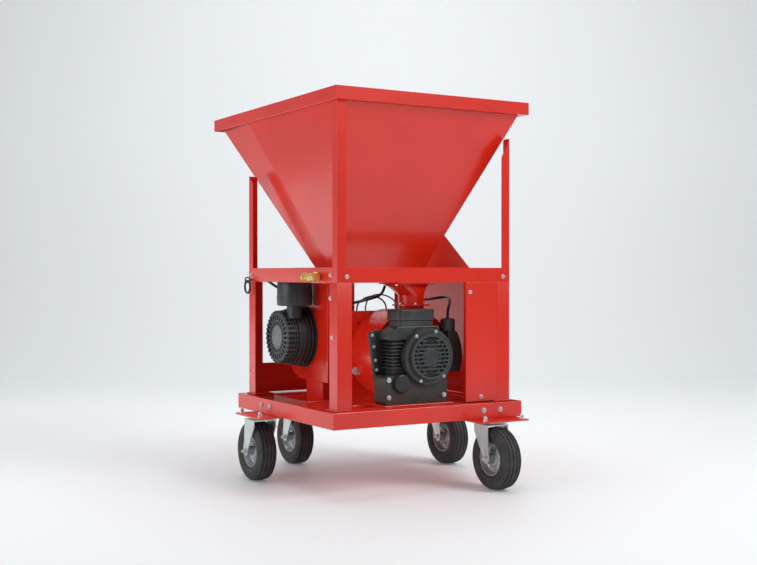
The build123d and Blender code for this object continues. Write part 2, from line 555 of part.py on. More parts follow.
def make_muffler():
    """Curved muffler that wraps round the right of the crank body."""
    body = rod_y(CRANK_X, CRANK_Z, MUFFLER_R, MUFFLER_FRONT, MUFFLER_BACK)
    body = body & block(MUFFLER_LEFT, CRANK_X + MUFFLER_R + 1, MUFFLER_FRONT, MUFFLER_BACK, MUFFLER_LOW, MUFFLER_TOP)
    stub = block(CRANK_X + NECK_R - 20, MUFFLER_LEFT + 8, MUFFLER_FRONT + 20, MUFFLER_BACK - 16,
                 CRANK_Z - 20, CRANK_Z + 20)
    return (body + stub) - rod_y(CRANK_X, CRANK_Z, NECK_R, BLOCK_FRONT, BLOCK_BACK)


def make_ignition_cap():
    cap = rod_z(CAP_X, CAP_Y, CAP_R, CAP_Z, CAP_Z + CAP_HIGH)
    cap = chamfer(cap.edges().group_by(Axis.Z)[-1], 8.0)
    return cap


def make_crankcase_lid():
    lid = rod_y(LID_X, LID_Z, LID_R, BLOCK_FRONT - LID_DEEP, BLOCK_FRONT)
    return fillet(lid.edges().group_by(Axis.Y)[0], 8.0)


# ---- chip blower ----

def scroll_outline(inset, left, right):
    """Half-round behind and square in front, as a solid."""
    radius = SCROLL_R - inset
    body = rod_x(BLOWER_Y, BLOWER_Z, radius, left, right)
    body += block(left, right, SCROLL_FRONT + inset, BLOWER_Y, BLOWER_Z - radius, BLOWER_Z + radius)
    return body + block(left, right, SCROLL_FRONT + inset, BLOWER_Y - SCROLL_STEP - inset, BLOWER_Z,
                        SCROLL_TOP - inset)


def make_blower_scroll():
    scroll = scroll_outline(0.0, SCROLL_LEFT, SCROLL_RIGHT)
    scroll = scroll - scroll_outline(SCROLL_WALL, SCROLL_LEFT + SCROLL_WALL, SCROLL_RIGHT - SCROLL_WALL)
    scroll = scroll - rod_x(BLOWER_Y, BLOWER_Z, EYE_R, SCROLL_RIGHT - 2 * SCROLL_WALL, SCROLL_RIGHT + 1)
    scroll = scroll - rod_x(BLOWER_Y, BLOWER_Z, BLOWER_SHAFT_R + GAP, SCROLL_LEFT - 1, SCROLL_LEFT + 2 * SCROLL_WALL)
    low = BLOWER_Z - SCROLL_R
    front = CROSS_AT[1] + CROSS_WIDE
    window = block(SCROLL_LEFT + SCROLL_WALL, SCROLL_RIGHT - SCROLL_WALL, front + SCROLL_WALL,
                   CHUTE_BACK - SCROLL_WALL, low - 1, low + 2 * SCROLL_WALL)
    return scroll - window


def make_discharge_chute():
    """Square spout from the bottom of the scroll down through the base frame."""
    top, front = BLOWER_Z - SCROLL_R, CROSS_AT[1] + CROSS_WIDE
    spout = block(SCROLL_LEFT, SCROLL_RIGHT, front, CHUTE_BACK, CHUTE_LOW, top)
    return spout - block(SCROLL_LEFT + SCROLL_WALL, SCROLL_RIGHT - SCROLL_WALL, front + SCROLL_WALL,
                         CHUTE_BACK - SCROLL_WALL, CHUTE_LOW - 1, top + 1)


def make_transfer_duct():
    """Box duct from the drum's casing plate round to the eye of the blower."""
    front = DRUM_BACK + CASING_THICK
    duct = block(SCROLL_RIGHT, DUCT_RIGHT, front, DUCT_BACK, DUCT_LOW, DUCT_TOP)
    duct = duct - block(SCROLL_RIGHT + SCROLL_WALL, DUCT_RIGHT - SCROLL_WALL, front - 1, DUCT_BACK - SCROLL_WALL,
                        DUCT_LOW + SCROLL_WALL, DUCT_TOP - SCROLL_WALL)
    return duct - rod_x(BLOWER_Y, BLOWER_Z, EYE_R, SCROLL_RIGHT - 1, SCROLL_RIGHT + 2 * SCROLL_WALL)


def make_motor_housing():
    """Ringed housing on the scroll's left wall, closed in front by the fan cover."""
    body = rod_x(BLOWER_Y, BLOWER_Z, MOTOR_R - 12, MOTOR_LEFT, SCROLL_LEFT)
    pitch = (SCROLL_LEFT - MOTOR_LEFT) / (MOTOR_RINGS + 0.5)
    for n in range(MOTOR_RINGS):
        start = SCROLL_LEFT - 6 - n * pitch
        body += rod_x(BLOWER_Y, BLOWER_Z, MOTOR_R - 3 * n, start, start + 6)
    body = body - rod_x(BLOWER_Y, BLOWER_Z, MOTOR_R - 30, MOTOR_LEFT + 8 + BEARING_LONG, SCROLL_LEFT - BEARING_LONG)
    for start in (MOTOR_LEFT + 8, SCROLL_LEFT - BEARING_LONG):
        body = body - rod_x(BLOWER_Y, BLOWER_Z, BEARING_R, start, start + BEARING_LONG)
    return body - rod_x(BLOWER_Y, BLOWER_Z, BLOWER_SHAFT_R + GAP, MOTOR_LEFT - 1, SCROLL_LEFT + 1)


def make_fan_cover():
    """Tapering cover with two rings of radial slots round a plain centre."""
    outside = loft([Pos(MOTOR_LEFT, BLOWER_Y, BLOWER_Z) * Rot(0, -90, 0) * Circle(MOTOR_R - 12),
                    Pos(FANCOVER_LEFT, BLOWER_Y, BLOWER_Z) * Rot(0, -90, 0) * Circle(FANCOVER_R)])
    inside = loft([Pos(MOTOR_LEFT, BLOWER_Y, BLOWER_Z) * Rot(0, -90, 0) * Circle(MOTOR_R - 12 - COVER_WALL),
                   Pos(FANCOVER_LEFT + COVER_WALL, BLOWER_Y, BLOWER_Z) * Rot(0, -90, 0)
                   * Circle(FANCOVER_R - COVER_WALL)])
    cover = outside - inside
    slots = 18
    for n in range(slots):
        cut = block(FANCOVER_LEFT - 1, FANCOVER_LEFT + COVER_WALL + 1, 52.0, 94.0, -4, 4)
        cover = cover - Pos(0, BLOWER_Y, BLOWER_Z) * Rot(360 / slots * n, 0, 0) * cut
    return cover


def make_intake_canister():
    can = rod_z(CANISTER_X, CANISTER_Y, CANISTER_R, CANISTER_LOW, CANISTER_TOP)
    can = fillet(can.edges(), 6.0)
    neck_low = BLOWER_Z
    neck = rod_z(CANISTER_X, CANISTER_Y, CANISTER_NECK, neck_low, CANISTER_LOW)
    neck = neck - rod_x(BLOWER_Y, BLOWER_Z, MOTOR_R - 12, MOTOR_LEFT, SCROLL_LEFT)
    cone = loft([Pos(MOTOR_LEFT, BLOWER_Y, BLOWER_Z) * Rot(0, -90, 0) * Circle(MOTOR_R - 12),
                 Pos(FANCOVER_LEFT, BLOWER_Y, BLOWER_Z) * Rot(0, -90, 0) * Circle(FANCOVER_R)])
    ring_cut = rod_x(BLOWER_Y, BLOWER_Z, MOTOR_R, MOTOR_LEFT, SCROLL_LEFT)
    neck = neck - cone - ring_cut
    return can + neck.solids().sort_by(Axis.Z)[-1]


def make_blower_shaft():
    return rod_x(BLOWER_Y, BLOWER_Z, BLOWER_SHAFT_R, MOTOR_LEFT + 2, SCROLL_RIGHT - 3 * SCROLL_WALL)


def make_blower_impeller():
    """Back plate and six radial blades."""
    start = SCROLL_LEFT + SCROLL_WALL + 8
    wheel = rod_x(BLOWER_Y, BLOWER_Z, IMPELLER_R, start, start + 4)
    wheel += rod_x(BLOWER_Y, BLOWER_Z, BLOWER_SHAFT_R * 2.2, start, start + 60)
    for n in range(6):
        blade = block(start + 4, start + 84, BLOWER_SHAFT_R * 2, IMPELLER_R - 4, -2, 2)
        wheel += Pos(0, BLOWER_Y, BLOWER_Z) * Rot(60 * n, 0, 0) * blade
    return wheel - rod_x(BLOWER_Y, BLOWER_Z, BLOWER_SHAFT_R, SCROLL_LEFT, SCROLL_RIGHT)


# ---- casters ----

RED_LOW = BASE_LOW - RED_PLATE
RACE_LOW = RED_LOW - TOP_PLATE - RACE_THICK
YOKE_LOW = RACE_LOW - YOKE_THICK
LEG_IN = TYRE_WIDE / 2 + LEG_GAP
LEG_OUT = LEG_IN + LEG_THICK


def red_plate_box(x, y, side):
    """Plan outline of the welded plate that a caster hangs from: long along the frame's side."""
    inward, low, high = 30.0, -BASE_MARGIN, POST_SQUARE + BASE_MARGIN
    half = RED_LONG / 2
    if side == "left":
        return low - (RED_WIDE - inward - BASE_MARGIN), low + inward + BASE_MARGIN, y - half + 5, y + half + 5
    if side == "right":
        return high - inward - BASE_MARGIN, high + RED_WIDE - inward - BASE_MARGIN, y - half, y + half
    if side == "front":
        return x - half + 20, x + half + 20, low - (RED_WIDE - inward - BASE_MARGIN), low + inward + BASE_MARGIN
    return x - half, x + half, high - inward - BASE_MARGIN, high + RED_WIDE - inward - BASE_MARGIN


def make_caster_plates():
    plates = []
    for name, x, y, side, trail in CASTERS:
        plate = block(*red_plate_box(x, y, side), RED_LOW, BASE_LOW)
        plates.append(plate - rod_z(x, y, PIN_R, RED_LOW - 1, BASE_LOW + 1))
    return plates


def make_caster_tops():
    """Zinc top plate, race and king pin of each caster."""
    tops = []
    half_x, half_y = 45.0, 55.0
    for name, x, y, side, trail in CASTERS:
        top = block(x - half_x, x + half_x, y - half_y, y + half_y, RED_LOW - TOP_PLATE, RED_LOW)
        top += rod_z(x, y, 34.0, RACE_LOW, RED_LOW - TOP_PLATE)
        top += rod_z(x, y, PIN_R, YOKE_LOW - 6, BASE_LOW - RUN)
        top += rod_z(x, y, PIN_R * 1.6, YOKE_LOW - 6, YOKE_LOW - 0.3)
        tops.append(top)
    return tops


def make_fork(x, y, trail):
    """Yoke plate and two raking legs."""
    half = 46.0
    yoke = block(x - LEG_OUT, x + LEG_OUT, y - half, y + half, YOKE_LOW, RACE_LOW - 0.3)
    axle_y = y + trail * TRAIL
    boss = 19.0
    outline = ((y - half, RACE_LOW - 0.3), (y - half, YOKE_LOW - 24), (axle_y - boss, WHEEL_R), (axle_y + boss, WHEEL_R),
               (y + half, YOKE_LOW - 24), (y + half, RACE_LOW - 0.3))
    for x0, x1 in ((x - LEG_OUT, x - LEG_IN), (x + LEG_IN, x + LEG_OUT)):
        yoke += prism_x(outline, x0, x1) + rod_x(axle_y, WHEEL_R, boss, x0, x1)
    yoke = yoke - rod_z(x, y, PIN_R + RUN, YOKE_LOW - 1, RACE_LOW + 1)
    return yoke - rod_x(axle_y, WHEEL_R, AXLE_R, x - AXLE_HALF, x + AXLE_HALF)


def make_axle(x, y, trail):
    """Axle bolt with its head on the left and nut on the right."""
    axle_y = y + trail * TRAIL
    bolt = rod_x(axle_y, WHEEL_R, AXLE_R, x - LEG_OUT, x + AXLE_HALF)
    bolt += hexagon("-x", x - LEG_OUT, axle_y, WHEEL_R, AXLE_HEAD_R, AXLE_HEAD)
    bolt += rod_x(axle_y, WHEEL_R, AXLE_R, x - AXLE_HALF, x - LEG_OUT)
    return bolt + hexagon("x", x + LEG_OUT, axle_y, WHEEL_R, AXLE_HEAD_R, AXLE_HEAD)


def ring_about_axle(outline, x, axle_y):
    """A section given as distance along the axle and radius, spun about the axle."""
    face = make_face(Polyline(*[(x + along, axle_y, WHEEL_R + radius) for along, radius in outline], close=True))
    return revolve(face, Axis((x, axle_y, WHEEL_R), (1, 0, 0)), 360)


def make_tyre(x, y, trail):
    axle_y = y + trail * TRAIL
    section = Pos(x, axle_y, WHEEL_R + (WHEEL_R + RIM_R) / 2) * Rot(90, 0, 0) * RectangleRounded(
        TYRE_WIDE, WHEEL_R - RIM_R, 22.0)
    return revolve(section, Axis((x, axle_y, WHEEL_R), (1, 0, 0)), 360)


def make_wheel_hub(x, y, trail):
    """Pressed rim, web and bored hub barrel."""
    axle_y = y + trail * TRAIL
    half, web, barrel, sheet = 33.0, 3.0, 21.0, 5.0
    bore, hub_half = AXLE_R + RUN, LEG_IN - 1.0
    outline = ((-half, RIM_R), (half, RIM_R), (half, RIM_R - sheet), (web, RIM_R - sheet - 8), (web, barrel + 6),
               (hub_half, barrel), (hub_half, bore), (-hub_half, bore), (-hub_half, barrel), (-web, barrel + 6),
               (-web, RIM_R - sheet - 8), (-half, RIM_R - sheet))
    return ring_about_axle(outline, x, axle_y)


# ---- fittings ----

def make_coupler_body():
    """Brass air nipple screwed through the left rail: hexagon, thread and collar along the rail."""
    body = hexagon("-x", 0, COUPLER_Y, COUPLER_Z, COUPLER_R + 3, 12.0)
    body += rod_x(COUPLER_Y, COUPLER_Z, COUPLER_R - 3, -22.0, RAIL_WALL)
    body += block(-34.0, -12.0, COUPLER_Y - 14, COUPLER_Y + 14, COUPLER_Z - 14, COUPLER_Z + 14)
    body += rod_y(-23.0, COUPLER_Z, COUPLER_R - 2, COUPLER_Y - 52, COUPLER_Y + 44)
    for n in range(4):
        start = COUPLER_Y + 16 + n * 7
        body += rod_y(-23.0, COUPLER_Z, COUPLER_R - 0.5, start, start + 3.5)
    return body + rod_y(-23.0, COUPLER_Z, COUPLER_R + 3, COUPLER_Y + 44, COUPLER_Y + 56)


def make_coupler_sleeve():
    start = COUPLER_Y - 46
    sleeve = rod_y(-23.0, COUPLER_Z, COUPLER_R + 3, start, start + 22)
    sleeve += rod_y(-23.0, COUPLER_Z, COUPLER_R + 5, start + 2, start + 7)
    return sleeve - rod_y(-23.0, COUPLER_Z, COUPLER_R - 2 + RUN, start - 1, start + 23)


def make_lashing_eye():
    """Screw eye in the left rail's back end, which the lashing ring hangs in."""
    shank = rod_x(EYE_Y, EYE_Z, EYE_WIRE + 1, -EYE_STAND - EYE_WIRE / 2, 0.0)
    loop = Pos(-EYE_STAND - EYE_LOOP, EYE_Y, EYE_Z) * Rot(90, 0, 0) * Torus(EYE_LOOP, EYE_WIRE)
    return shank + loop


def make_lashing_ring():
    """Round ring that hangs through the eye, resting on its lower inside."""
    top = EYE_Z - (EYE_LOOP - EYE_WIRE) + RING_WIRE + RING_SLACK
    return Pos(-EYE_STAND - EYE_LOOP, EYE_Y, top - RING_LOOP) * Rot(0, 90, 0) * Torus(RING_LOOP, RING_WIRE)


def make_frame_bolts():
    """Rail, panel, plate and flange screws: all the same zinc hexagon heads."""
    bolts = []
    edge, mid = 34.0, RAIL_LOW + RAIL_HIGH * 0.5
    for x in (edge + 8, POST_SQUARE - edge):
        bolts.append(screw("-y", x, 0, mid - 6))
        bolts.append(screw("y", x, POST_SQUARE, mid - 6))
    for y in (edge + 17, POST_SQUARE - edge + 4):
        bolts.append(screw("-x", 0, y, mid))
        bolts.append(screw("x", POST_SQUARE, y, mid))
    for y, z in ((52.0, 782.0), (38.0, 630.0)):
        bolts.append(screw("-x", 0, y, z))
    for x, z in ((FRONT_PANEL_LEFT + 20, RAIL_LOW - 40), (FRONT_PANEL_LEFT + 75, POST_FOOT + 20)):
        bolts.append(screw("-y", x, 0, z))
    bolts.append(screw("-y", CASING_LEFT + 18, DRUM_BACK, CASING_TOP - 32))
    bolts.append(screw("-y", CASING_LEFT + 18, DRUM_BACK, BASE_TOP + 40))
    for name, x, y, side, trail in CASTERS:
        x0, x1, y0, y1 = red_plate_box(x, y, side)
        inset, stand = 16.0, 22.0
        along_y = side in ("left", "right")
        outer = {"left": x0 + inset, "right": x1 - inset, "front": y0 + inset, "back": y1 - inset}[side]
        for share in (0.12, 0.88):
            place = (outer, y0 + (y1 - y0) * share) if along_y else (x0 + (x1 - x0) * share, outer)
            bolts.append(rod_z(*place, 5.0, BASE_LOW, BASE_LOW + stand) + screw("z", *place, BASE_LOW))
        face = {"left": -BASE_MARGIN, "right": POST_SQUARE + BASE_MARGIN, "front": -BASE_MARGIN,
                "back": POST_SQUARE + BASE_MARGIN}[side]
        axis = {"left": "-x", "right": "x", "front": "-y", "back": "y"}[side]
        for share in (0.3, 0.65):
            height = BASE_LOW + BASE_DEEP * 0.55
            if along_y:
                bolts.append(screw(axis, face, y0 + (y1 - y0) * share, height, 9.0))
            else:
                bolts.append(screw(axis, x0 + (x1 - x0) * share, face, height, 9.0))
    for n in range(6):
        turn = radians(60 * n + 15)
        radius = (FLANGE_R + THROAT_R) / 2
        bolts.append(screw("z", THROAT_X + radius * cos(turn), THROAT_Y + radius * sin(turn), FLANGE_TOP, 6.0))
    low, high = funnel_outlet()["near"], funnel_outlet()["far"]
    for x in (low[0] - COLLAR_LIP / 2, high[0] + COLLAR_LIP / 2):
        for y in (low[1] + 20, high[1] - 20):
            bolts.append(screw("-z", x, y, FUNNEL_LOW - COLLAR_THICK, 6.0))
    return bolts


def make_engine_bolts():
    bolts = []
    for angle in (127.0, 74.0, -50.0, -114.0):
        radius = (COVER_R + GRILLE_R) / 2
        bolts.append(screw("-y", CRANK_X + radius * cos(radians(angle)), COVER_FRONT,
                           CRANK_Z + radius * sin(radians(angle)), 5.5))
    for x, z in ((BLOCK_LEFT + 16, BLOCK_TOP - 16), (BLOCK_LEFT + 16, BASE_TOP + 34), (BLOCK_RIGHT - 16, BASE_TOP + 34)):
        bolts.append(screw("-y", x, BLOCK_FRONT, z, 8.0))
    for share in (0.42, 0.56, 0.76, 0.93):
        edge = BELL_LEFT - BELL_LEAN * share
        bolts.append(screw("-y", edge + 10, BLOCK_BACK, BELL_LOW + (BELL_TOP - BELL_LOW) * share, 5.5, 4.0))
    return bolts


# ---- hoses and wiring: the routes are free choices ----

ENGINE_HOSE = ((THROAT_X + THROAT_R + NIPPLE_LONG, THROAT_Y, NIPPLE_Z), (612, THROAT_Y, NIPPLE_Z), (648, 266, 776),
               (654, 220, 779), (634, 168, 768), (604, 130, 746), (CAP_X, CAP_Y, 720), (CAP_X, CAP_Y, CAP_Z + CAP_HIGH))
CANISTER_HOSE = ((RAIL_WALL + 0.2, 782, 862), (34, 782, 862), (60, 766, 850), (80, 728, 826), (CANISTER_X, 684, 808),
                 (CANISTER_X, CANISTER_Y + CANISTER_R + 0.3, 808))
LOOM_A = ((225, SCROLL_FRONT - 0.2, 750), (225, 340, 750), (262, 312, 758), (330, 318, 772), (390, 345, 782),
          (440, 388, 806), (466, 412, 850))
LOOM_B = ((300, 379, CASING_TOP + 0.2), (300, 379, 748), (322, 362, 772), (362, 348, 786), (398, 336, 770),
          (416, 330, 744), (416, 330, 726.0))
LOOM_C = ((342, 379, CASING_TOP + 0.2), (342, 379, 752), (356, 352, 786), (386, 316, 792), (414, 282, 776),
          (426, 258, 750), (426, 258, 727.4))


def corner_radii(points):
    """Arc radii as large as each corner's two runs allow."""
    radii = []
    for before, here, after in zip(points, points[1:], points[2:]):
        back, ahead = Vector(*here) - Vector(*before), Vector(*after) - Vector(*here)
        turn = radians(back.get_angle(ahead))
        radii.append(0.45 * min(back.length, ahead.length) / tan(turn / 2))
    return radii


def tube_along(points, radius):
    """A round tube along straight runs joined by tangent arcs."""
    radii = corner_radii(points)
    print("arc radii", [round(r, 1) for r in radii], "for radius", radius)
    path = FilletPolyline(*points, radius=radii)
    start = Plane(path @ 0, z_dir=path % 0)
    return sweep(start * Circle(radius), path)


# ---- write every part ----

def machine():
    """Every part by name, still in the frame's own corner coordinates."""
    parts = {
        "base_rails": make_base_rails(), "base_cross_members": make_cross_members(),
        "lower_posts": make_lower_posts(), "mid_rails": make_mid_rails(), "upper_posts": make_upper_posts(),
        "hopper_walls": make_hopper_walls(), "hopper_rim": make_hopper_rim(),
        "hopper_funnel": make_hopper_funnel(), "hopper_throat": make_throat(), "hopper_brace": make_hopper_brace(),
        "front_panel": make_front_panel(), "side_panel": make_side_panel(), "rear_shield": make_rear_shield(),
        "drum_shell": make_drum_shell(), "casing_plate": make_casing_plate(), "anvil": make_anvil(),
        "drum_plug": make_drum_plug(), "crankshaft": make_crankshaft(), "rotor_disc": make_rotor_disc(),
        "rotor_knives": make_rotor_knives(), "flywheel_fan": make_flywheel_fan(), "bearings": make_bearings(),
        "crankcase": make_crankcase(), "cylinder_fins": make_cylinder(), "engine_shroud": make_engine_shroud(),
        "starter_cover": make_starter_cover(), "air_filter_box": make_air_filter_box(), "muffler": make_muffler(),
        "ignition_cap": make_ignition_cap(), "crankcase_lid": make_crankcase_lid(),
        "blower_scroll": [make_blower_scroll(), make_discharge_chute()],
        "transfer_duct": make_transfer_duct(), "motor_housing": make_motor_housing(),
        "fan_cover": make_fan_cover(), "intake_canister": make_intake_canister(),
        "blower_shaft": make_blower_shaft(), "blower_impeller": make_blower_impeller(),
        "caster_plates": make_caster_plates(), "caster_tops": make_caster_tops(),
        "coupler_body": make_coupler_body(), "coupler_sleeve": make_coupler_sleeve(),
        "lashing_eye": make_lashing_eye(), "lashing_ring": make_lashing_ring(),
        "frame_bolts": make_frame_bolts(), "engine_bolts": make_engine_bolts(),
        "engine_hose": tube_along(ENGINE_HOSE, 6.0), "canister_hose": tube_along(CANISTER_HOSE, 6.0),
        "wiring_loom": [tube_along(LOOM_A, 6.0), tube_along(LOOM_B, 3.5), tube_along(LOOM_C, 3.0)],
    }
    for name, x, y, side, trail in CASTERS:
        parts[f"caster_fork_{name}"] = [make_fork(x, y, trail), make_axle(x, y, trail)]
        parts[f"tyre_{name}"] = make_tyre(x, y, trail)
        parts[f"wheel_hub_{name}"] = make_wheel_hub(x, y, trail)
    return parts


def main():
    os.makedirs("parts", exist_ok=True)
    left = CASTERS[0][1] - AXLE_HALF
    right = CASTERS[3][1] + AXLE_HALF
    front = CASTERS[1][2] - TRAIL - WHEEL_R
    home = Vector((left + right) / 2, (front + RIM_BACK) / 2, 0)
    print("origin at", home)
    for name, made in machine().items():
        solids = made if isinstance(made, list) else made.solids()
        flat = [solid for item in solids for solid in item.solids()]
        moved = [solid.moved(Location(-home)) for solid in flat]
        export_step(Compound(children=moved) if len(moved) > 1 else moved[0], f"parts/{name}.step")


main()
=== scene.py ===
"""A red wheeled wood chipper: finishes, detailed pieces, studio and camera, around its fixed CAD frame."""

import logging
import math
from dataclasses import dataclass, field
from enum import Enum
from typing import Iterable, Sequence

import bmesh
import bpy
from mathutils import Matrix, Vector

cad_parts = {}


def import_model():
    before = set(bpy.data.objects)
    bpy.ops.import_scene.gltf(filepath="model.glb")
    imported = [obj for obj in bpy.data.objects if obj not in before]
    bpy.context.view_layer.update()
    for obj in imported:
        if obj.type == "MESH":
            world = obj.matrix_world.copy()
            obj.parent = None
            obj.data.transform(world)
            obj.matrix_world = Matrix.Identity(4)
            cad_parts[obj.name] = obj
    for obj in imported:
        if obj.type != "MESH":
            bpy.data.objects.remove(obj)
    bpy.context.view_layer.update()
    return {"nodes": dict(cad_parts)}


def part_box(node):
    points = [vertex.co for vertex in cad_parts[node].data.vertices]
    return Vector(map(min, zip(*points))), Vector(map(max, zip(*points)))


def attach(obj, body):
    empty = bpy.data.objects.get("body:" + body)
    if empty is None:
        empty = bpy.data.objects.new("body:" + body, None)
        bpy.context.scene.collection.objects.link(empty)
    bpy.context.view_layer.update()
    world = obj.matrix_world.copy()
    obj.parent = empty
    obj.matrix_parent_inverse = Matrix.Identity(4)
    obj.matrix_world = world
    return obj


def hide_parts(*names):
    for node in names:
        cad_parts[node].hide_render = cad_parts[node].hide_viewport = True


log = logging.getLogger("chipper")

Colour = tuple[float, float, float]
Point = tuple[float, float, float]


class Axis(Enum):
    """The direction that a turned piece or a ring of bars is built round."""

    X = "x"
    Y = "y"
    Z = "z"

    def turn(self) -> Matrix:
        """The rotation that carries +Z onto this axis.

        Returns:
            The rotation, as a 4 by 4 matrix.
        """
        if self is Axis.X:
            return Matrix.Rotation(math.pi / 2, 4, "Y")
        if self is Axis.Y:
            return Matrix.Rotation(-math.pi / 2, 4, "X")
        return Matrix.Identity(4)


# ---------------------------------------------------------------- shader maths


class Number:
    """A shader socket used like a number: each operator adds the Math node that it stands for."""

    def __init__(self, graph: "Graph", socket: bpy.types.NodeSocket) -> None:
        """Wraps a socket.

        Args:
            graph: The material's graph, which new nodes are added to.
            socket: The output socket that carries the value.
        """
        self.graph = graph
        self.socket = socket

    def _math(self, operation: str, first: "Number | float", second: "Number | float") -> "Number":
        """Adds one Math node.

        Args:
            operation: What the node does.
            first: Its first value.
            second: Its second value.

        Returns:
            The node's result.
        """
        node = self.graph.node("ShaderNodeMath", {"operation": operation}, {0: first, 1: second})
        return Number(self.graph, node.outputs[0])

    def __add__(self, other: "Number | float") -> "Number":
        """This value plus another."""
        return self._math("ADD", self, other)

    __radd__ = __add__

    def __sub__(self, other: "Number | float") -> "Number":
        """This value less another."""
        return self._math("SUBTRACT", self, other)

    def __rsub__(self, other: "Number | float") -> "Number":
        """Another value less this one."""
        return self._math("SUBTRACT", other, self)

    def __mul__(self, other: "Number | float") -> "Number":
        """This value times another."""
        return self._math("MULTIPLY", self, other)

    __rmul__ = __mul__

    def ramp(self, low: float, high: float) -> "Number":
        """Spreads the part of this value between two limits over 0 to 1.

        Args:
            low: The value that becomes 0.
            high: The value that becomes 1.

        Returns:
            The clamped result.
        """
        node = self.graph.node("ShaderNodeMapRange", {"clamp": True},
                               {"Value": self, "From Min": low, "From Max": high})
        return Number(self.graph, node.outputs["Result"])


class Graph:
    """One material's node tree, with its Principled shader ready."""

    def __init__(self, name: str) -> None:
        """Makes the material.

        Args:
            name: The material's name.
        """
        self.material = bpy.data.materials.new(name)
        self.material.use_nodes = True
        self.tree = self.material.node_tree
        self.shader = self.tree.nodes["Principled BSDF"]
        coordinates = self.tree.nodes.new("ShaderNodeTexCoord")
        self.place = coordinates.outputs["Object"]

    def node(self, kind: str, settings: dict, inputs: dict) -> bpy.types.Node:
        """Adds a node, sets it up and fills its sockets.

        Args:
            kind: The node's type.
            settings: Properties that are set first.
            inputs: Socket name or number to a value, a socket or a Number.

        Returns:
            The new node.
        """
        made = self.tree.nodes.new(kind)
        for key, value in settings.items():
            setattr(made, key, value)
        for key, value in inputs.items():
            if isinstance(value, Number):
                self.tree.links.new(value.socket, made.inputs[key])
            elif isinstance(value, bpy.types.NodeSocket):
                self.tree.links.new(value, made.inputs[key])
            else:
                made.inputs[key].default_value = value
        return made

    def noise(self, scale: float, detail: float = 2.0, stretch: Point = (1.0, 1.0, 1.0)) -> Number:
        """Smooth noise over the piece.

        Args:
            scale: Features per metre.
            detail: Octaves.
            stretch: How much finer the noise is along each axis.

        Returns:
            The noise, about 0.5.
        """
        mapped = self.node("ShaderNodeMapping", {}, {"Vector": self.place, "Scale": stretch})
        texture = self.node("ShaderNodeTexNoise", {},
                            {"Vector": mapped.outputs[0], "Scale": scale, "Detail": detail})
        return Number(self, texture.outputs[0])

    def edges(self) -> Number:
        """How sharply the surface turns outwards, about 0.5 where it is flat."""
        return Number(self, self.node("ShaderNodeNewGeometry", {}, {}).outputs["Pointiness"])

    def height(self) -> Number:
        """How high a point is over the floor, in metres."""
        split = self.node("ShaderNodeSeparateXYZ", {}, {0: self.place})
        return Number(self, split.outputs["Z"])

    def blend(self, factor: Number, first: "Colour | bpy.types.NodeSocket",
              second: Colour) -> bpy.types.NodeSocket:
        """Mixes two colours.

        Args:
            factor: 0 for the first colour, 1 for the second.
            first: A colour, or the socket that carries one.
            second: The other colour.

        Returns:
            The socket with the mixed colour.
        """
        base = first if isinstance(first, bpy.types.NodeSocket) else (*first, 1.0)
        mixed = self.node("ShaderNodeMix", {"data_type": "RGBA"}, {0: factor, 6: base, 7: (*second, 1.0)})
        return mixed.outputs[2]

    def bump(self, height: Number, strength: float, distance: float) -> None:
        """Raises the surface by a height before it is shaded.

        Args:
            height: How high each point stands, from 0 to 1.
            strength: How much of the effect shows.
            distance: The height that 1 stands for, in metres.
        """
        made = self.node("ShaderNodeBump", {}, {"Strength": strength, "Distance": distance, "Height": height})
        self.tree.links.new(made.outputs[0], self.shader.inputs["Normal"])

    def feed(self, **inputs: "Number | bpy.types.NodeSocket | float | tuple") -> None:
        """Fills the shader's own sockets.

        Args:
            **inputs: Socket names, with underscores for their spaces, and what goes into each.
        """
        for key, value in inputs.items():
            socket = self.shader.inputs[key.replace("_", " ").title()]
            if isinstance(value, Number):
                self.tree.links.new(value.socket, socket)
            elif isinstance(value, bpy.types.NodeSocket):
                self.tree.links.new(value, socket)
            else:
                socket.default_value = value


# ---------------------------------------------------------------- finishes


@dataclass(frozen=True)
class PowderCoat:
    """Glossy powder coat with a slight orange peel and a film of dust near the floor."""

    name: str = "red powder coat"
    colour: Colour = (0.76, 0.022, 0.006)
    shade: Colour = (0.68, 0.016, 0.005)
    dust: Colour = (0.50, 0.10, 0.07)
    dusty_below: float = 0.28
    clean_above: float = 0.62
    film: float = 0.10
    rough: float = 0.26
    coat: float = 0.28
    coat_rough: float = 0.12

    def make(self) -> bpy.types.Material:
        """Builds the material."""
        g = Graph(self.name)
        drift = g.noise(3.0, 3.0)
        specks = g.noise(60.0, 4.0).ramp(0.60, 0.85)
        low = 1.0 - g.height().ramp(self.dusty_below, self.clean_above)
        film = specks * low * self.film
        body = g.blend(drift.ramp(0.35, 0.65), self.colour, self.shade)
        wave = g.noise(1.6, 0.0)
        g.feed(base_color=g.blend(film, body, self.dust), roughness=wave * 0.05 + self.rough + film * 0.5,
               coat_weight=self.coat, coat_roughness=self.coat_rough)
        g.bump(g.noise(160.0, 1.0), 0.012, 0.0004)
        return g.material


@dataclass(frozen=True)
class Moulding:
    """Black moulded plastic with a fine spark texture."""

    name: str
    colour: Colour
    rough: float = 0.42
    grain: float = 900.0

    def make(self) -> bpy.types.Material:
        """Builds the material."""
        g = Graph(self.name)
        wear = g.noise(14.0, 4.0).ramp(0.45, 0.75)
        # Lighter on sharp edges as painted highlight, mixed with random real wear from the noise.
        wear_and_painted_highlight = g.edges().ramp(0.51, 0.58) * 0.7 + wear * 0.3
        lighter = tuple(min(1.0, c * 2.6 + 0.012) for c in self.colour)
        g.feed(base_color=g.blend(wear_and_painted_highlight, self.colour, lighter), roughness=self.rough + wear * 0.14)
        g.bump(g.noise(self.grain, 2.0), 0.25, 0.0004)
        return g.material


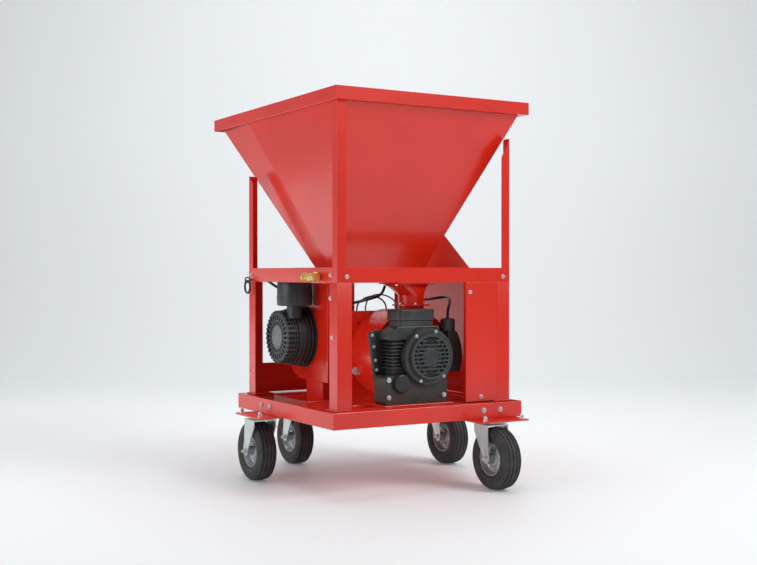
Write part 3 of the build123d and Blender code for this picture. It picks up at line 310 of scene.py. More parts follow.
@dataclass(frozen=True)
class Casting:
    """Painted engine casting: coarse skin, scuffs, painted highlights on its sharp edges, and oily brown
    grime that gathers low down.
    """

    name: str = "painted casting"
    colour: Colour = (0.018, 0.020, 0.020)
    # The lighter colour of scuffs, and of the painted highlights on sharp edges.
    wear_and_painted_highlight: Colour = (0.055, 0.058, 0.056)
    grime: Colour = (0.075, 0.050, 0.030)
    grime_low: float = 0.35
    grime_high: float = 0.52
    rough: float = 0.36

    def make(self) -> bpy.types.Material:
        """Builds the material."""
        g = Graph(self.name)
        scuff = g.noise(40.0, 6.0).ramp(0.50, 0.74)
        low = 1.0 - g.height().ramp(self.grime_low, self.grime_high)
        dirt = g.noise(26.0, 6.0).ramp(0.38, 0.66) * low
        # Sharp edges turn lighter: painted highlight.
        painted_edge_highlight = g.edges().ramp(0.51, 0.58)
        base = g.blend(scuff * 0.4 + painted_edge_highlight * 0.6, self.colour, self.wear_and_painted_highlight)
        g.feed(base_color=g.blend(dirt, base, self.grime), roughness=self.rough + scuff * 0.16 + dirt * 0.30)
        g.bump(g.noise(520.0, 3.0), 0.35, 0.0006)
        return g.material


@dataclass(frozen=True)
class Metal:
    """Bare or plated metal with brushed or cloudy variation."""

    name: str
    colour: Colour
    dull: Colour
    rough: float
    stretch: Point = (1.0, 1.0, 1.0)
    metallic: float = 1.0

    def make(self) -> bpy.types.Material:
        """Builds the material."""
        g = Graph(self.name)
        cloud = g.noise(38.0, 4.0, self.stretch).ramp(0.35, 0.70)
        stain = g.noise(150.0, 3.0).ramp(0.60, 0.78)
        g.feed(base_color=g.blend(cloud, self.colour, self.dull), metallic=self.metallic,
               roughness=self.rough + cloud * 0.14 + stain * 0.12)
        g.bump(g.noise(300.0, 3.0, self.stretch), 0.12, 0.0003)
        return g.material


@dataclass(frozen=True)
class TyreRubber:
    """Dull tyre rubber with patches of pale dust."""

    name: str = "tyre rubber"
    colour: Colour = (0.026, 0.026, 0.028)
    dust: Colour = (0.085, 0.082, 0.078)
    rough: float = 0.62

    def make(self) -> bpy.types.Material:
        """Builds the material."""
        g = Graph(self.name)
        dusty = g.noise(22.0, 5.0).ramp(0.42, 0.75)
        g.feed(base_color=g.blend(dusty * 0.7, self.colour, self.dust), roughness=self.rough + dusty * 0.2)
        g.bump(g.noise(700.0, 3.0), 0.4, 0.0005)
        return g.material


@dataclass(frozen=True)
class HoseRubber:
    """Smooth black hose with a soft sheen."""

    name: str = "hose rubber"
    colour: Colour = (0.010, 0.010, 0.011)
    scuffed: Colour = (0.035, 0.035, 0.036)
    rough: float = 0.34

    def make(self) -> bpy.types.Material:
        """Builds the material."""
        g = Graph(self.name)
        scuff = g.noise(70.0, 4.0).ramp(0.55, 0.80)
        g.feed(base_color=g.blend(scuff, self.colour, self.scuffed), roughness=self.rough + scuff * 0.2)
        g.bump(g.noise(600.0, 2.0), 0.15, 0.0003)
        return g.material


def finish(kind: "PowderCoat | Moulding | Casting | Metal | TyreRubber | HoseRubber") -> bpy.types.Material:
    """A field of Finishes, whose material is made when Finishes is."""
    return field(default_factory=kind.make)


@dataclass
class Finishes:
    """Every finish of the machine, made once."""

    red: bpy.types.Material = finish(PowderCoat())
    casting: bpy.types.Material = finish(Casting())
    enamel: bpy.types.Material = finish(Moulding("black enamel", (0.016, 0.018, 0.018), 0.30, 420.0))
    plastic: bpy.types.Material = finish(Moulding("black plastic", (0.018, 0.020, 0.021)))
    grey_plastic: bpy.types.Material = finish(Moulding("grey plastic", (0.125, 0.140, 0.150), 0.5))
    canister: bpy.types.Material = finish(Moulding("canister plastic", (0.022, 0.026, 0.028), 0.34))
    zinc: bpy.types.Material = finish(
        Metal("zinc plate", (0.70, 0.74, 0.73), (0.52, 0.56, 0.55), 0.30, (1.0, 1.0, 0.3), 0.75))
    bolt: bpy.types.Material = finish(
        Metal("bolt zinc", (0.82, 0.82, 0.80), (0.58, 0.58, 0.57), 0.30, metallic=0.7))
    steel: bpy.types.Material = finish(Metal("machined steel", (0.52, 0.52, 0.52), (0.40, 0.40, 0.40), 0.30))
    hub: bpy.types.Material = finish(
        Metal("hub silver", (0.50, 0.52, 0.54), (0.36, 0.38, 0.40), 0.34, metallic=0.7))
    brass: bpy.types.Material = finish(
        Metal("turned brass", (0.90, 0.66, 0.20), (0.74, 0.50, 0.14), 0.26, metallic=0.65))
    tyre: bpy.types.Material = finish(TyreRubber())
    # Also given to the starter's well and the fan cover's inside as painted shade.
    hose: bpy.types.Material = finish(HoseRubber())


# ---------------------------------------------------------------- mesh tools

# Points nearer than this are one point, in metres.
SAME_POINT = 1e-5
# Creases sharper than these, in degrees, stay sharp on bars and boxes, turned pieces and worked nodes.
BAR_CREASE, TURNED_CREASE, WORKED_CREASE = 32.0, 28.0, 20.0
# Faces of a CAD node within this angle are one face, and edges over the second angle get rounded.
FLAT_ANGLE, EDGE_ANGLE = 0.6, 34.0
# Facets across a rounded edge.
EDGE_FACETS = 2


def mesh_of(name: str, work: bmesh.types.BMesh) -> bpy.types.Mesh:
    """Turns finished work into a mesh.

    Args:
        name: The mesh's name.
        work: The geometry, which is freed.

    Returns:
        The mesh.
    """
    mesh = bpy.data.meshes.new(name)
    work.to_mesh(mesh)
    work.free()
    return mesh


def object_from(name: str, mesh: bpy.types.Mesh) -> bpy.types.Object:
    """Links a mesh as an object at the origin.

    Args:
        name: The object's name.
        mesh: Its mesh.

    Returns:
        The object.
    """
    made = bpy.data.objects.new(name, mesh)
    bpy.context.scene.collection.objects.link(made)
    return made


def soften(mesh: bpy.types.Mesh, angle: float = BAR_CREASE) -> None:
    """Shades a mesh smooth, apart from its sharp edges.

    Args:
        mesh: The mesh.
        angle: Edges sharper than this, in degrees, stay sharp.
    """
    mesh.polygons.foreach_set("use_smooth", [True] * len(mesh.polygons))
    mesh.set_sharp_from_angle(angle=math.radians(angle))
    mesh.update()


def baked(obj: bpy.types.Object) -> bpy.types.Object:
    """Turns an object's modifiers into its own plain mesh.

    Args:
        obj: The object with live modifiers.

    Returns:
        The same object, with no modifier left.
    """
    graph = bpy.context.evaluated_depsgraph_get()
    mesh = bpy.data.meshes.new_from_object(obj.evaluated_get(graph), depsgraph=graph)
    obj.modifiers.clear()
    obj.data = mesh
    return obj


def rounded(node: str, width: float, material: bpy.types.Material, body: str, slot: str,
            crease: float = WORKED_CREASE) -> bpy.types.Object:
    """Stands a copy with rounded edges in for a CAD node.

    Args:
        node: The CAD node's name.
        width: Width of the rounding, in metres.
        material: The finish.
        body: The body that the piece rides on.
        slot: The record's material slot.
        crease: Folds sharper than this, in degrees, stay crisp.

    Returns:
        The new piece.
    """
    work = bmesh.new()
    work.from_mesh(bpy.data.objects[node].data)
    bmesh.ops.remove_doubles(work, verts=work.verts, dist=SAME_POINT)
    bmesh.ops.dissolve_limit(work, angle_limit=math.radians(FLAT_ANGLE), verts=work.verts, edges=work.edges)
    piece = object_from(f"{node}_finish", mesh_of(f"{node}_finish", work))
    bevel = piece.modifiers.new("edges", "BEVEL")
    bevel.width = width
    bevel.segments = EDGE_FACETS
    bevel.limit_method = "ANGLE"
    bevel.angle_limit = math.radians(EDGE_ANGLE)
    bevel.use_clamp_overlap = True
    baked(piece)
    low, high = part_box(node)
    for vertex in piece.data.vertices:
        vertex.co = [min(max(c, a), b) for c, a, b in zip(vertex.co, low, high)]
    soften(piece.data, crease)
    piece.data.materials.clear()
    piece.data.materials.append(material)
    return placed(piece, body, slot, node)


def placed(piece: bpy.types.Object, body: str, slot: str, *nodes: str) -> bpy.types.Object:
    """Rides a finished piece on its body.

    Args:
        piece: The piece.
        body: The body that it rides on.
        slot: The record's material slot; not used.
        *nodes: The CAD nodes that it stands for, if any.

    Returns:
        The same piece.
    """
    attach(piece, body)
    if nodes:
        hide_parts(*nodes)
    log.info("piece %s on %s", piece.name, body)
    return piece


def turned(name: str, outline: Sequence[tuple[float, float]], axis: Axis, centre: Vector,
           material: bpy.types.Material, steps: int = 96, ring: bool = False) -> bpy.types.Object:
    """A turned piece: an outline of distance along the axis and radius, spun round.

    Args:
        name: The piece's name.
        outline: Points of (distance along the axis, radius), in metres.
        axis: The axis it is turned round.
        centre: The point on the axis that distances are measured from.
        material: The finish.
        steps: Facets round the piece.
        ring: Whether the outline closes on itself, as a tyre's does.

    Returns:
        The new object, at the origin.
    """
    work = bmesh.new()
    rows = []
    for along, radius in outline:
        if radius < SAME_POINT:
            rows.append([work.verts.new((0.0, 0.0, along))])
            continue
        turns = [2 * math.pi * n / steps for n in range(steps)]
        rows.append([work.verts.new((radius * math.cos(turn), radius * math.sin(turn), along))
                     for turn in turns])
    pairs = list(zip(rows, rows[1:]))
    if ring:
        pairs.append((rows[-1], rows[0]))
    for low, high in pairs:
        for n in range(steps):
            m = (n + 1) % steps
            if len(low) == 1 and len(high) == 1:
                continue
            if len(low) == 1:
                work.faces.new((low[0], high[m], high[n]))
            elif len(high) == 1:
                work.faces.new((low[n], low[m], high[0]))
            else:
                work.faces.new((low[n], low[m], high[m], high[n]))
    bmesh.ops.recalc_face_normals(work, faces=work.faces)
    bmesh.ops.transform(work, matrix=Matrix.Translation(centre) @ axis.turn(), verts=work.verts)
    mesh = mesh_of(name, work)
    mesh.materials.append(material)
    soften(mesh, TURNED_CREASE)
    return object_from(name, mesh)


def merge(name: str, pieces: Iterable[bpy.types.Object]) -> bpy.types.Object:
    """Joins several objects at the origin into one, keeping their materials.

    Args:
        name: The joined piece's name.
        pieces: The objects, which are removed.

    Returns:
        The joined piece.
    """
    work = bmesh.new()
    materials: list[bpy.types.Material] = []
    for piece in pieces:
        mesh = piece.data
        start = len(work.faces)
        work.from_mesh(mesh)
        work.faces.ensure_lookup_table()
        for face in work.faces[start:]:
            own = mesh.materials[face.material_index]
            if own not in materials:
                materials.append(own)
            face.material_index = materials.index(own)
        bpy.data.objects.remove(piece)
    joined = mesh_of(name, work)
    for material in materials:
        joined.materials.append(material)
    soften(joined, TURNED_CREASE)
    return object_from(name, joined)


# ---------------------------------------------------------------- repeats, by Geometry Nodes


# Flats on a wheel nut.
NUT_SIDES = 6


class Repeat:
    """A Geometry Nodes tree that repeats a small bar, baked into one plain mesh."""

    def __init__(self, name: str, material: bpy.types.Material) -> None:
        """Starts the tree.

        Args:
            name: The name of the piece.
            material: The finish that the tree sets.
        """
        self.name = name
        self.material = material
        self.tree = bpy.data.node_groups.new(name, "GeometryNodeTree")
        self.tree.interface.new_socket("Geometry", in_out="OUTPUT", socket_type="NodeSocketGeometry")
        self.values: dict[str, "int | float | Point"] = {}

    def socket(self, name: str, kind: str, value: "int | float | Point") -> None:
        """Declares a named input and remembers its value.

        Args:
            name: The input's name.
            kind: The type of its socket.
            value: What the baked piece takes for it.
        """
        self.tree.interface.new_socket(name, in_out="INPUT", socket_type=kind)
        self.values[name] = value

    def add(self, kind: str, settings: "dict | None" = None,
            inputs: "dict | None" = None) -> bpy.types.Node:
        """Adds a node, sets it up and fills its sockets.

        Args:
            kind: The node's type.
            settings: Properties that are set first.
            inputs: Socket name or number to a value or a socket.

        Returns:
            The new node.
        """
        node = self.tree.nodes.new(kind)
        for key, value in (settings or {}).items():
            setattr(node, key, value)
        for key, value in (inputs or {}).items():
            if isinstance(value, bpy.types.NodeSocket):
                self.tree.links.new(value, node.inputs[key])
            else:
                node.inputs[key].default_value = value
        return node

    def maths(self, operation: str, *values: "bpy.types.NodeSocket | float") -> bpy.types.NodeSocket:
        """Adds one Math node on one or two values and gives its result."""
        return self.add("ShaderNodeMath", {"operation": operation}, dict(enumerate(values))).outputs[0]

    def bake(self, points: bpy.types.NodeSocket, shape: bpy.types.NodeSocket,
             rotation: "bpy.types.NodeSocket | None", scale: "bpy.types.NodeSocket | None",
             place: Matrix, seed: "bpy.types.Object | None" = None) -> bpy.types.Object:
        """Instances the shape on the points and turns the result into a mesh.

        Args:
            points: Geometry with the points.
            shape: Geometry of one bar.
            rotation: Rotation of each instance, or None.
            scale: Scale of each instance, or None.
            place: Where the whole set goes.
            seed: The object whose points the tree works on, or None.

        Returns:
            The new object, at the origin.
        """
        inputs = {"Points": points, "Instance": shape}
        if rotation is not None:
            inputs["Rotation"] = rotation
        if scale is not None:
            inputs["Scale"] = scale
        instances = self.add("GeometryNodeInstanceOnPoints", inputs=inputs)
        real = self.add("GeometryNodeRealizeInstances", inputs={0: instances.outputs[0]})
        dressed = self.add("GeometryNodeSetMaterial",
                           inputs={"Geometry": real.outputs[0], "Material": self.material})
        output = self.add("NodeGroupOutput")
        self.tree.links.new(dressed.outputs[0], output.inputs[0])
        holder = seed or object_from(self.name, bpy.data.meshes.new(self.name))
        modifier = holder.modifiers.new("repeat", "NODES")
        modifier.node_group = self.tree
        for item in self.tree.interface.items_tree:
            if item.item_type == "SOCKET" and item.in_out == "INPUT" and item.name in self.values:
                modifier[item.identifier] = self.values[item.name]
        baked(holder)
        holder.data.transform(place)
        soften(holder.data)
        return holder


def ring_of_bars(name: str, count: int, radius: float, size: Point, axis: Axis, centre: Vector,
                 material: bpy.types.Material, round_bars: bool = False) -> bpy.types.Object:
    """Bars or studs set round a circle, each pointing outwards.

    Args:
        name: The piece's name.
        count: How many bars.
        radius: Radius of the circle through their middles.
        size: Length outwards, width along the circle, and depth along the axis.
        axis: The circle's axis.
        centre: The circle's centre.
        material: The finish.
        round_bars: Whether each is a round stud of the width given, instead of a bar.

    Returns:
        The new object.
    """
    repeat = Repeat(name, material)
    repeat.socket("Count", "NodeSocketInt", count)
    repeat.socket("Radius", "NodeSocketFloat", radius)
    repeat.socket("Size", "NodeSocketVector", size)
    group = repeat.add("NodeGroupInput")
    circle = repeat.add("GeometryNodeMeshCircle", {"fill_type": "NONE"},
                        {"Vertices": group.outputs["Count"], "Radius": group.outputs["Radius"]})
    position = repeat.add("GeometryNodeInputPosition")
    aligned = repeat.add("FunctionNodeAlignRotationToVector", {"axis": "X"},
                         {"Vector": position.outputs[0]})
    if round_bars:
        bar = repeat.add("GeometryNodeMeshCylinder", {},
                         {"Vertices": NUT_SIDES, "Radius": size[1] / 2, "Depth": size[2]})
    else:
        bar = repeat.add("GeometryNodeMeshCube", {}, {"Size": group.outputs["Size"]})
    place = Matrix.Translation(centre) @ axis.turn()
    return repeat.bake(circle.outputs[0], bar.outputs[0], aligned.outputs[0], None, place)


def clipped_rows(name: str, count: int, pitch: float, reach: float, size: Point, centre: Vector,
                 material: bpy.types.Material) -> bpy.types.Object:
    """Level bars one above another, each as long as a circle leaves room for.

    Args:
        name: The piece's name.
        count: How many bars.
        pitch: Distance from bar to bar.
        reach: Radius of the circle.
        size: Share of the room that a bar takes, its depth along y and its height.
        centre: The circle's centre.
        material: The finish.

    Returns:
        The new object.
    """
    repeat = Repeat(name, material)
    repeat.socket("Count", "NodeSocketInt", count)
    repeat.socket("Reach", "NodeSocketFloat", reach)
    group = repeat.add("NodeGroupInput")
    first = (0.0, 0.0, -pitch * (count - 1) / 2)
    line = repeat.add("GeometryNodeMeshLine", {"mode": "OFFSET"},
                      {"Count": group.outputs["Count"], "Start Location": first,
                       "Offset": (0.0, 0.0, pitch)})
    position = repeat.add("GeometryNodeInputPosition")
    split = repeat.add("ShaderNodeSeparateXYZ", inputs={0: position.outputs[0]})
    square = repeat.maths("MULTIPLY", split.outputs["Z"], split.outputs["Z"])
    whole = repeat.maths("MULTIPLY", group.outputs["Reach"], group.outputs["Reach"])
    half = repeat.maths("SQRT", repeat.maths("SUBTRACT", whole, square))
    length = repeat.maths("MULTIPLY", half, 2.0 * size[0])
    scale = repeat.add("ShaderNodeCombineXYZ", inputs={0: length, 1: 1.0, 2: 1.0})
    bar = repeat.add("GeometryNodeMeshCube", {}, {"Size": (1.0, size[1], size[2])})
    return repeat.bake(line.outputs[0], bar.outputs[0], None, scale.outputs[0], Matrix.Translation(centre))


# ---------------------------------------------------------------- studio and camera


@dataclass(frozen=True)
class SoftLight:
    """A square area light: its place, its aim, its side in metres and its power in watts."""

    name: str
    place: Point
    aim: Point
    size: float
    power: float

    def build(self) -> None:
        """Adds the light to the scene."""
        data = bpy.data.lights.new(self.name, "AREA")
        data.shape = "SQUARE"
        data.size = self.size
        data.energy = self.power
        lamp = bpy.data.objects.new(self.name, data)
        lamp.location = self.place
        lamp.rotation_euler = (Vector(self.aim) - Vector(self.place)).to_track_quat("-Z", "Y").to_euler()
        bpy.context.scene.collection.objects.link(lamp)


@dataclass(frozen=True)
class Studio:
    """Pale sweep, soft lights and the camera."""

    position: Point = (-2.507, -4.3465, 0.876)
    yaw: float = -30.56
    pitch: float = -0.42
    lens: float = 54.6
    film: float = 36.0
    sees: float = 60.0
    pale: Colour = (0.86, 0.885, 0.90)
    glow: float = 0.10
    floor_from: float = -9.0
    bend_from: float = 4.2
    bend: float = 2.2
    bend_steps: int = 12
    wall_top: float = 9.0
    half_width: float = 12.0
    sky: Colour = (0.90, 0.94, 0.97)
    sky_strength: float = 0.27
    lights: tuple[SoftLight, ...] = (
        SoftLight("key", (2.4, -4.5, 4.3), (0.0, 0.0, 0.8), 2.6, 185.0),
        SoftLight("fill", (-4.4, 0.2, 1.7), (0.0, 0.0, 0.9), 3.4, 72.0),
        SoftLight("left card", (-2.2, 3.3, -0.20), (-0.3, 0.0, 0.3), 2.2, 13.0),
        SoftLight("top", (0.1, 0.2, 5.6), (0.0, 0.2, 0.0), 3.6, 100.0),
        SoftLight("backdrop", (1.2, 2.2, 5.0), (2.6, 5.2, 1.6), 4.0, 66.0),
    )

    def camera(self) -> None:
        """Places the camera, which looks level at the machine's front left corner."""
        data = bpy.data.cameras.new("camera")
        data.lens = self.lens
        data.sensor_width = self.film
        data.clip_end = self.sees
        camera = bpy.data.objects.new("camera", data)
        bpy.context.scene.collection.objects.link(camera)
        camera.location = self.position
        camera.rotation_euler = (math.radians(90.0 + self.pitch), 0.0, math.radians(self.yaw))
        bpy.context.scene.camera = camera

    def sweep(self) -> None:
        """A floor that curves up into a backdrop behind the machine."""
        forward = Vector((math.sin(math.radians(-self.yaw)), math.cos(math.radians(-self.yaw)), 0.0))
        side = Vector((forward.y, -forward.x, 0.0))
        profile = [(self.floor_from, 0.0)]
        for n in range(self.bend_steps + 1):
            turn = math.radians(90.0 * n / self.bend_steps)
            profile.append((self.bend_from + self.bend * math.sin(turn), self.bend * (1.0 - math.cos(turn))))
        profile.append((self.bend_from + self.bend, self.wall_top))
        work = bmesh.new()
        rows = []
        for along, height in profile:
            rows.append([work.verts.new(forward * along + side * wide + Vector((0.0, 0.0, height)))
                         for wide in (-self.half_width, self.half_width)])
        for low, high in zip(rows, rows[1:]):
            work.faces.new((low[0], low[1], high[1], high[0]))
        bmesh.ops.recalc_face_normals(work, faces=work.faces)
        mesh = mesh_of("sweep", work)
        graph = Graph("pale sweep")
        cloud = graph.noise(0.8, 2.0)
        darker = tuple(c * 0.985 for c in self.pale)
        graph.feed(base_color=graph.blend(cloud, self.pale, darker), roughness=0.62,
                   emission_color=(*self.pale, 1.0), emission_strength=self.glow)
        mesh.materials.append(graph.material)
        soften(mesh, 60.0)
        sweep = object_from("sweep", mesh)

    def world(self) -> None:
        """An even pale sky, and colours shown as they are."""
        world = bpy.data.worlds.new("studio")
        world.use_nodes = True
        shade = world.node_tree.nodes["Background"]
        shade.inputs["Color"].default_value = (*self.sky, 1.0)
        shade.inputs["Strength"].default_value = self.sky_strength
        bpy.context.scene.world = world
        bpy.context.scene.view_settings.view_transform = "Standard"

    def build(self) -> None:
        """Makes the whole studio."""
        self.camera()
        self.sweep()
        for light in self.lights:
            light.build()
        self.world()
        log.info("studio ready")


# ---------------------------------------------------------------- hoses and wiring

# The frame's front left corner on the floor, which the routes are written from.
CORNER = Vector((-0.410, -0.4845, 0.0))


@dataclass(frozen=True)
class Hose:
    """A hose or cable along a smooth route."""

    name: str
    route: Sequence[Point]
    diameter: float
    length: float
    node: str

    def build(self, material: bpy.types.Material) -> bpy.types.Object:
        """Makes the hose as one smooth spline.

        Args:
            material: The finish.

        Returns:
            The curve object.
        """
        curve = bpy.data.curves.new(self.name, "CURVE")
        curve.dimensions = "3D"
        curve.bevel_depth = self.diameter / 2
        curve.bevel_resolution = 5
        curve.resolution_u = 12
        curve.use_fill_caps = True
        spline = curve.splines.new("NURBS")
        spline.points.add(len(self.route) - 1)
        for point, place in zip(spline.points, self.route):
            point.co = (*(Vector(place) + CORNER), 1.0)
        spline.order_u = 3
        spline.use_endpoint_u = True
        curve.materials.append(material)
        made = bpy.data.objects.new(self.name, curve)
        bpy.context.scene.collection.objects.link(made)
        return made


ENGINE_HOSE = Hose("engine_hose_tube", (
    (0.582, 0.290, 0.768), (0.612, 0.290, 0.768), (0.648, 0.266, 0.776), (0.654, 0.220, 0.779),
    (0.634, 0.168, 0.768), (0.604, 0.130, 0.746), (0.586, 0.116, 0.720), (0.586, 0.116, 0.692)),
    0.012, 0.284, "engine_hose")
CANISTER_HOSE = Hose("canister_hose_tube", (
    (0.0052, 0.782, 0.862), (0.034, 0.782, 0.862), (0.060, 0.766, 0.850), (0.080, 0.728, 0.826),
    (0.092, 0.684, 0.808), (0.092, 0.6293, 0.808)), 0.012, 0.21, "canister_hose")
LOOM_LONG = Hose("loom_long", (
    (0.225, 0.3978, 0.750), (0.225, 0.340, 0.750), (0.262, 0.312, 0.758), (0.330, 0.318, 0.772),
    (0.390, 0.345, 0.782), (0.440, 0.388, 0.806), (0.466, 0.412, 0.850)), 0.012, 0.356, "wiring_loom")
LOOM_SHORT = Hose("loom_short", (
    (0.300, 0.379, 0.7202), (0.300, 0.379, 0.748), (0.322, 0.362, 0.772), (0.362, 0.348, 0.786),
    (0.398, 0.336, 0.770), (0.416, 0.330, 0.744), (0.416, 0.330, 0.7260)), 0.007, 0.193, "wiring_loom")
LOOM_THIN = Hose("loom_thin", (
    (0.342, 0.379, 0.7202), (0.342, 0.379, 0.752), (0.356, 0.352, 0.786), (0.386, 0.316, 0.792),
    (0.414, 0.282, 0.776), (0.426, 0.258, 0.750), (0.426, 0.258, 0.7274)), 0.006, 0.224, "wiring_loom")


class Hoses:
    """Breather hose, canister hose and the wiring behind the engine."""

    def build(self, finishes: Finishes) -> None:
        """Makes every hose, rides it on the chassis and hides its CAD node.

        Args:
            finishes: The machine's finishes.
        """
        for hose in (ENGINE_HOSE, CANISTER_HOSE, LOOM_LONG, LOOM_SHORT, LOOM_THIN):
            made = hose.build(finishes.hose)
            placed(made, "chassis", "hose_rubber", hose.node)


# ---------------------------------------------------------------- wheels


def mirrored(outline: Sequence[tuple[float, float]]) -> list[tuple[float, float]]:
    """The other half of an outline, back from its end."""
    return [(-along, reach) for along, reach in reversed(outline)]


@dataclass(frozen=True)
class Wheel:
    """A tyre with circumferential grooves, on a pressed silver rim with a hub cap."""

    name: str
    groove: float = 0.0035
    grooves: tuple[float, ...] = (-0.025, -0.0085, 0.0085, 0.025)
    crown: float = 0.0088
    rim: float = 0.070
    marks: int = 60
    mark: Point = (0.010, 0.0016, -0.0002)
    mark_in: float = 0.031
    dish_face: float = 0.030
    nuts: int = 5
    nut_circle: float = 0.041
    nut_out: float = 0.0145
    nut: Point = (0.010, 0.010, 0.006)

    def tyre_outline(self, half: float, radius: float) -> list[tuple[float, float]]:
        """The tyre's section.

        Args:
            half: Half the tyre's width.
            radius: Its outer radius.

        Returns:
            Distances along the axle and radii, once round.
        """
        rim = self.rim
        left = [(-half + 0.016, rim), (-half + 0.009, rim + 0.002), (-half + 0.004, rim + 0.009),
                (-half + 0.001, rim + 0.020), (-half, rim + 0.030), (-half + 0.002, radius - 0.016),
                (-half + 0.006, radius - 0.009), (-half + 0.011, radius - 0.004)]
        tread = []
        for centre in self.grooves:
            crown = self.crown * (centre / half) ** 2
            tread += [(centre - 0.0030, radius - crown), (centre - 0.0022, radius - crown - self.groove),
                      (centre + 0.0022, radius - crown - self.groove), (centre + 0.0030, radius - crown)]
        return left + tread + mirrored(left)

    def dish_outline(self, half: float) -> list[tuple[float, float]]:
        """The pressed rim's section, with its well, web and hub.

        Args:
            half: Half the hub's length.

        Returns:
            Distances along the axle and radii, once round.
        """
        face, rim = self.dish_face, self.rim
        left = [(-face, rim - 0.0002), (-face - 0.003, rim - 0.001), (-face - 0.003, rim - 0.004),
                (-face + 0.004, rim - 0.007), (-0.012, rim - 0.014), (-0.009, rim - 0.022), (-0.013, 0.034),
                (-0.020, 0.029), (-0.022, 0.0215), (-half, 0.0205), (-half, 0.0066)]
        return left + mirrored(left)

    def build(self, finishes: Finishes) -> None:
        """Makes the wheel's pieces.

        Args:
            finishes: The machine's finishes.
        """
        low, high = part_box(f"tyre_{self.name}")
        centre, half, radius = (low + high) / 2, (high.x - low.x) / 2, (high.z - low.z) / 2
        tyre = turned(f"tread_{self.name}", self.tyre_outline(half, radius), Axis.X, centre, finishes.tyre,
                      128, ring=True)
        long, wide, shy = self.mark
        lines = ring_of_bars(f"sidewall_marks_{self.name}", self.marks, radius - self.mark_in,
                             (long, wide, 2 * half + shy), Axis.X, centre, finishes.tyre)
        tyre = merge(f"tyre_{self.name}_finish", (tyre, lines))
        placed(tyre, f"wheel_{self.name}", "tyre_rubber", f"tyre_{self.name}")
        low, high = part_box(f"wheel_hub_{self.name}")
        hub = turned(f"dish_{self.name}", self.dish_outline((high.x - low.x) / 2), Axis.X, centre,
                     finishes.hub, 96, ring=True)
        nuts = [ring_of_bars(f"nuts_{self.name}_{side}", self.nuts, self.nut_circle, self.nut, Axis.X,
                             centre + Vector((side * self.nut_out, 0.0, 0.0)), finishes.bolt, round_bars=True)
                for side in (-1, 1)]
        hub = merge(f"hub_{self.name}_finish", (hub, *nuts))
        placed(hub, f"wheel_{self.name}", "hub_silver", f"wheel_hub_{self.name}")


# ---------------------------------------------------------------- blower


@dataclass(frozen=True)
class FanCover:
    """The blower motor's cover: two rings of radial slots round a plain centre, and a slotted taper."""

    spokes: int = 26
    rungs: int = 34
    bands: int = 5
    taper: float = 0.016
    middle: tuple[float, float] = (0.067, 0.073)
    boss: tuple[float, float] = (0.050, 0.055)
    outer_circle: float = 0.085
    outer_bar: Point = (0.026, 0.0095, 0.004)
    inner_circle: float = 0.061
    inner_bar: Point = (0.014, 0.0065, 0.004)
    bar_in: float = 0.0022

    def build(self, finishes: Finishes) -> None:
        """Makes the cover from its rims, bars and centre.

        Args:
            finishes: The machine's finishes.
        """
        low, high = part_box("fan_cover")
        front, back = low.x, high.x
        wide = (high.z - low.z) / 2
        centre = Vector((0.0, (low.y + high.y) / 2, (low.z + high.z) / 2))
        face = wide - self.taper
        plastic = finishes.plastic

        def ring(name: str, outline: Sequence[tuple[float, float]]) -> bpy.types.Object:
            """A closed ring about the blower's axis."""
            return turned(name, outline, Axis.X, centre, plastic, 120, ring=True)

        def band(name: str, inner: float, outer: float, thick: float = 0.004) -> bpy.types.Object:
            """A flat annulus on the front face."""
            return ring(name, [(front, inner), (front, outer), (front + thick, outer),
                               (front + thick, inner)])

        lip = ring("fan_lip", [(front + 0.003, face + 0.0005), (front, face - 0.003), (front, face - 0.009),
                               (front + 0.004, face - 0.009), (front + 0.004, face - 0.004),
                               (front + 0.010, face - 0.002), (front + 0.010, face + 0.0025)])
        middle = band("fan_middle", *self.middle)
        boss = band("fan_boss", *self.boss)
        disc = turned("fan_disc", [(front + 0.0006, 0.0), (front + 0.0006, 0.0485), (front + 0.002, 0.051)],
                      Axis.X, centre, finishes.grey_plastic, 96)
        spoked = centre + Vector((front + self.bar_in, 0.0, 0.0))
        outer = ring_of_bars("fan_outer_bars", self.spokes, self.outer_circle, self.outer_bar, Axis.X, spoked,
                             plastic)
        inner = ring_of_bars("fan_inner_bars", self.spokes, self.inner_circle, self.inner_bar, Axis.X, spoked,
                             plastic)
        bands = []
        for n in range(self.bands):
            share = (n + 1) / self.bands
            along = front + (back - front) * share
            radius = face + (wide - face) * share
            bands.append(ring(f"fan_band_{n}", [(along - 0.0035, radius - 0.0004), (along, radius),
                                                (along, radius - 0.005), (along - 0.0035, radius - 0.005)]))
        ladder = ring_of_bars("fan_ladder", self.rungs, (face + wide) / 2 - 0.0060,
                              (0.012, 0.0095, back - front - 0.004), Axis.X,
                              centre + Vector(((front + back) / 2, 0.0, 0.0)), plastic)
        # The inside behind the slots takes the darker hose rubber finish as painted shade.
        inside = turned("fan_inside_painted_shade", [(back - 0.001, wide - 0.012), (front + 0.008, face - 0.008),
                                       (front + 0.016, 0.030), (front + 0.012, 0.0)], Axis.X, centre,
                        finishes.hose, 96)
        whole = merge("fan_cover_finish", (lip, middle, boss, disc, outer, inner, *bands, ladder, inside))
        placed(whole, "chassis", "black_plastic", "fan_cover")


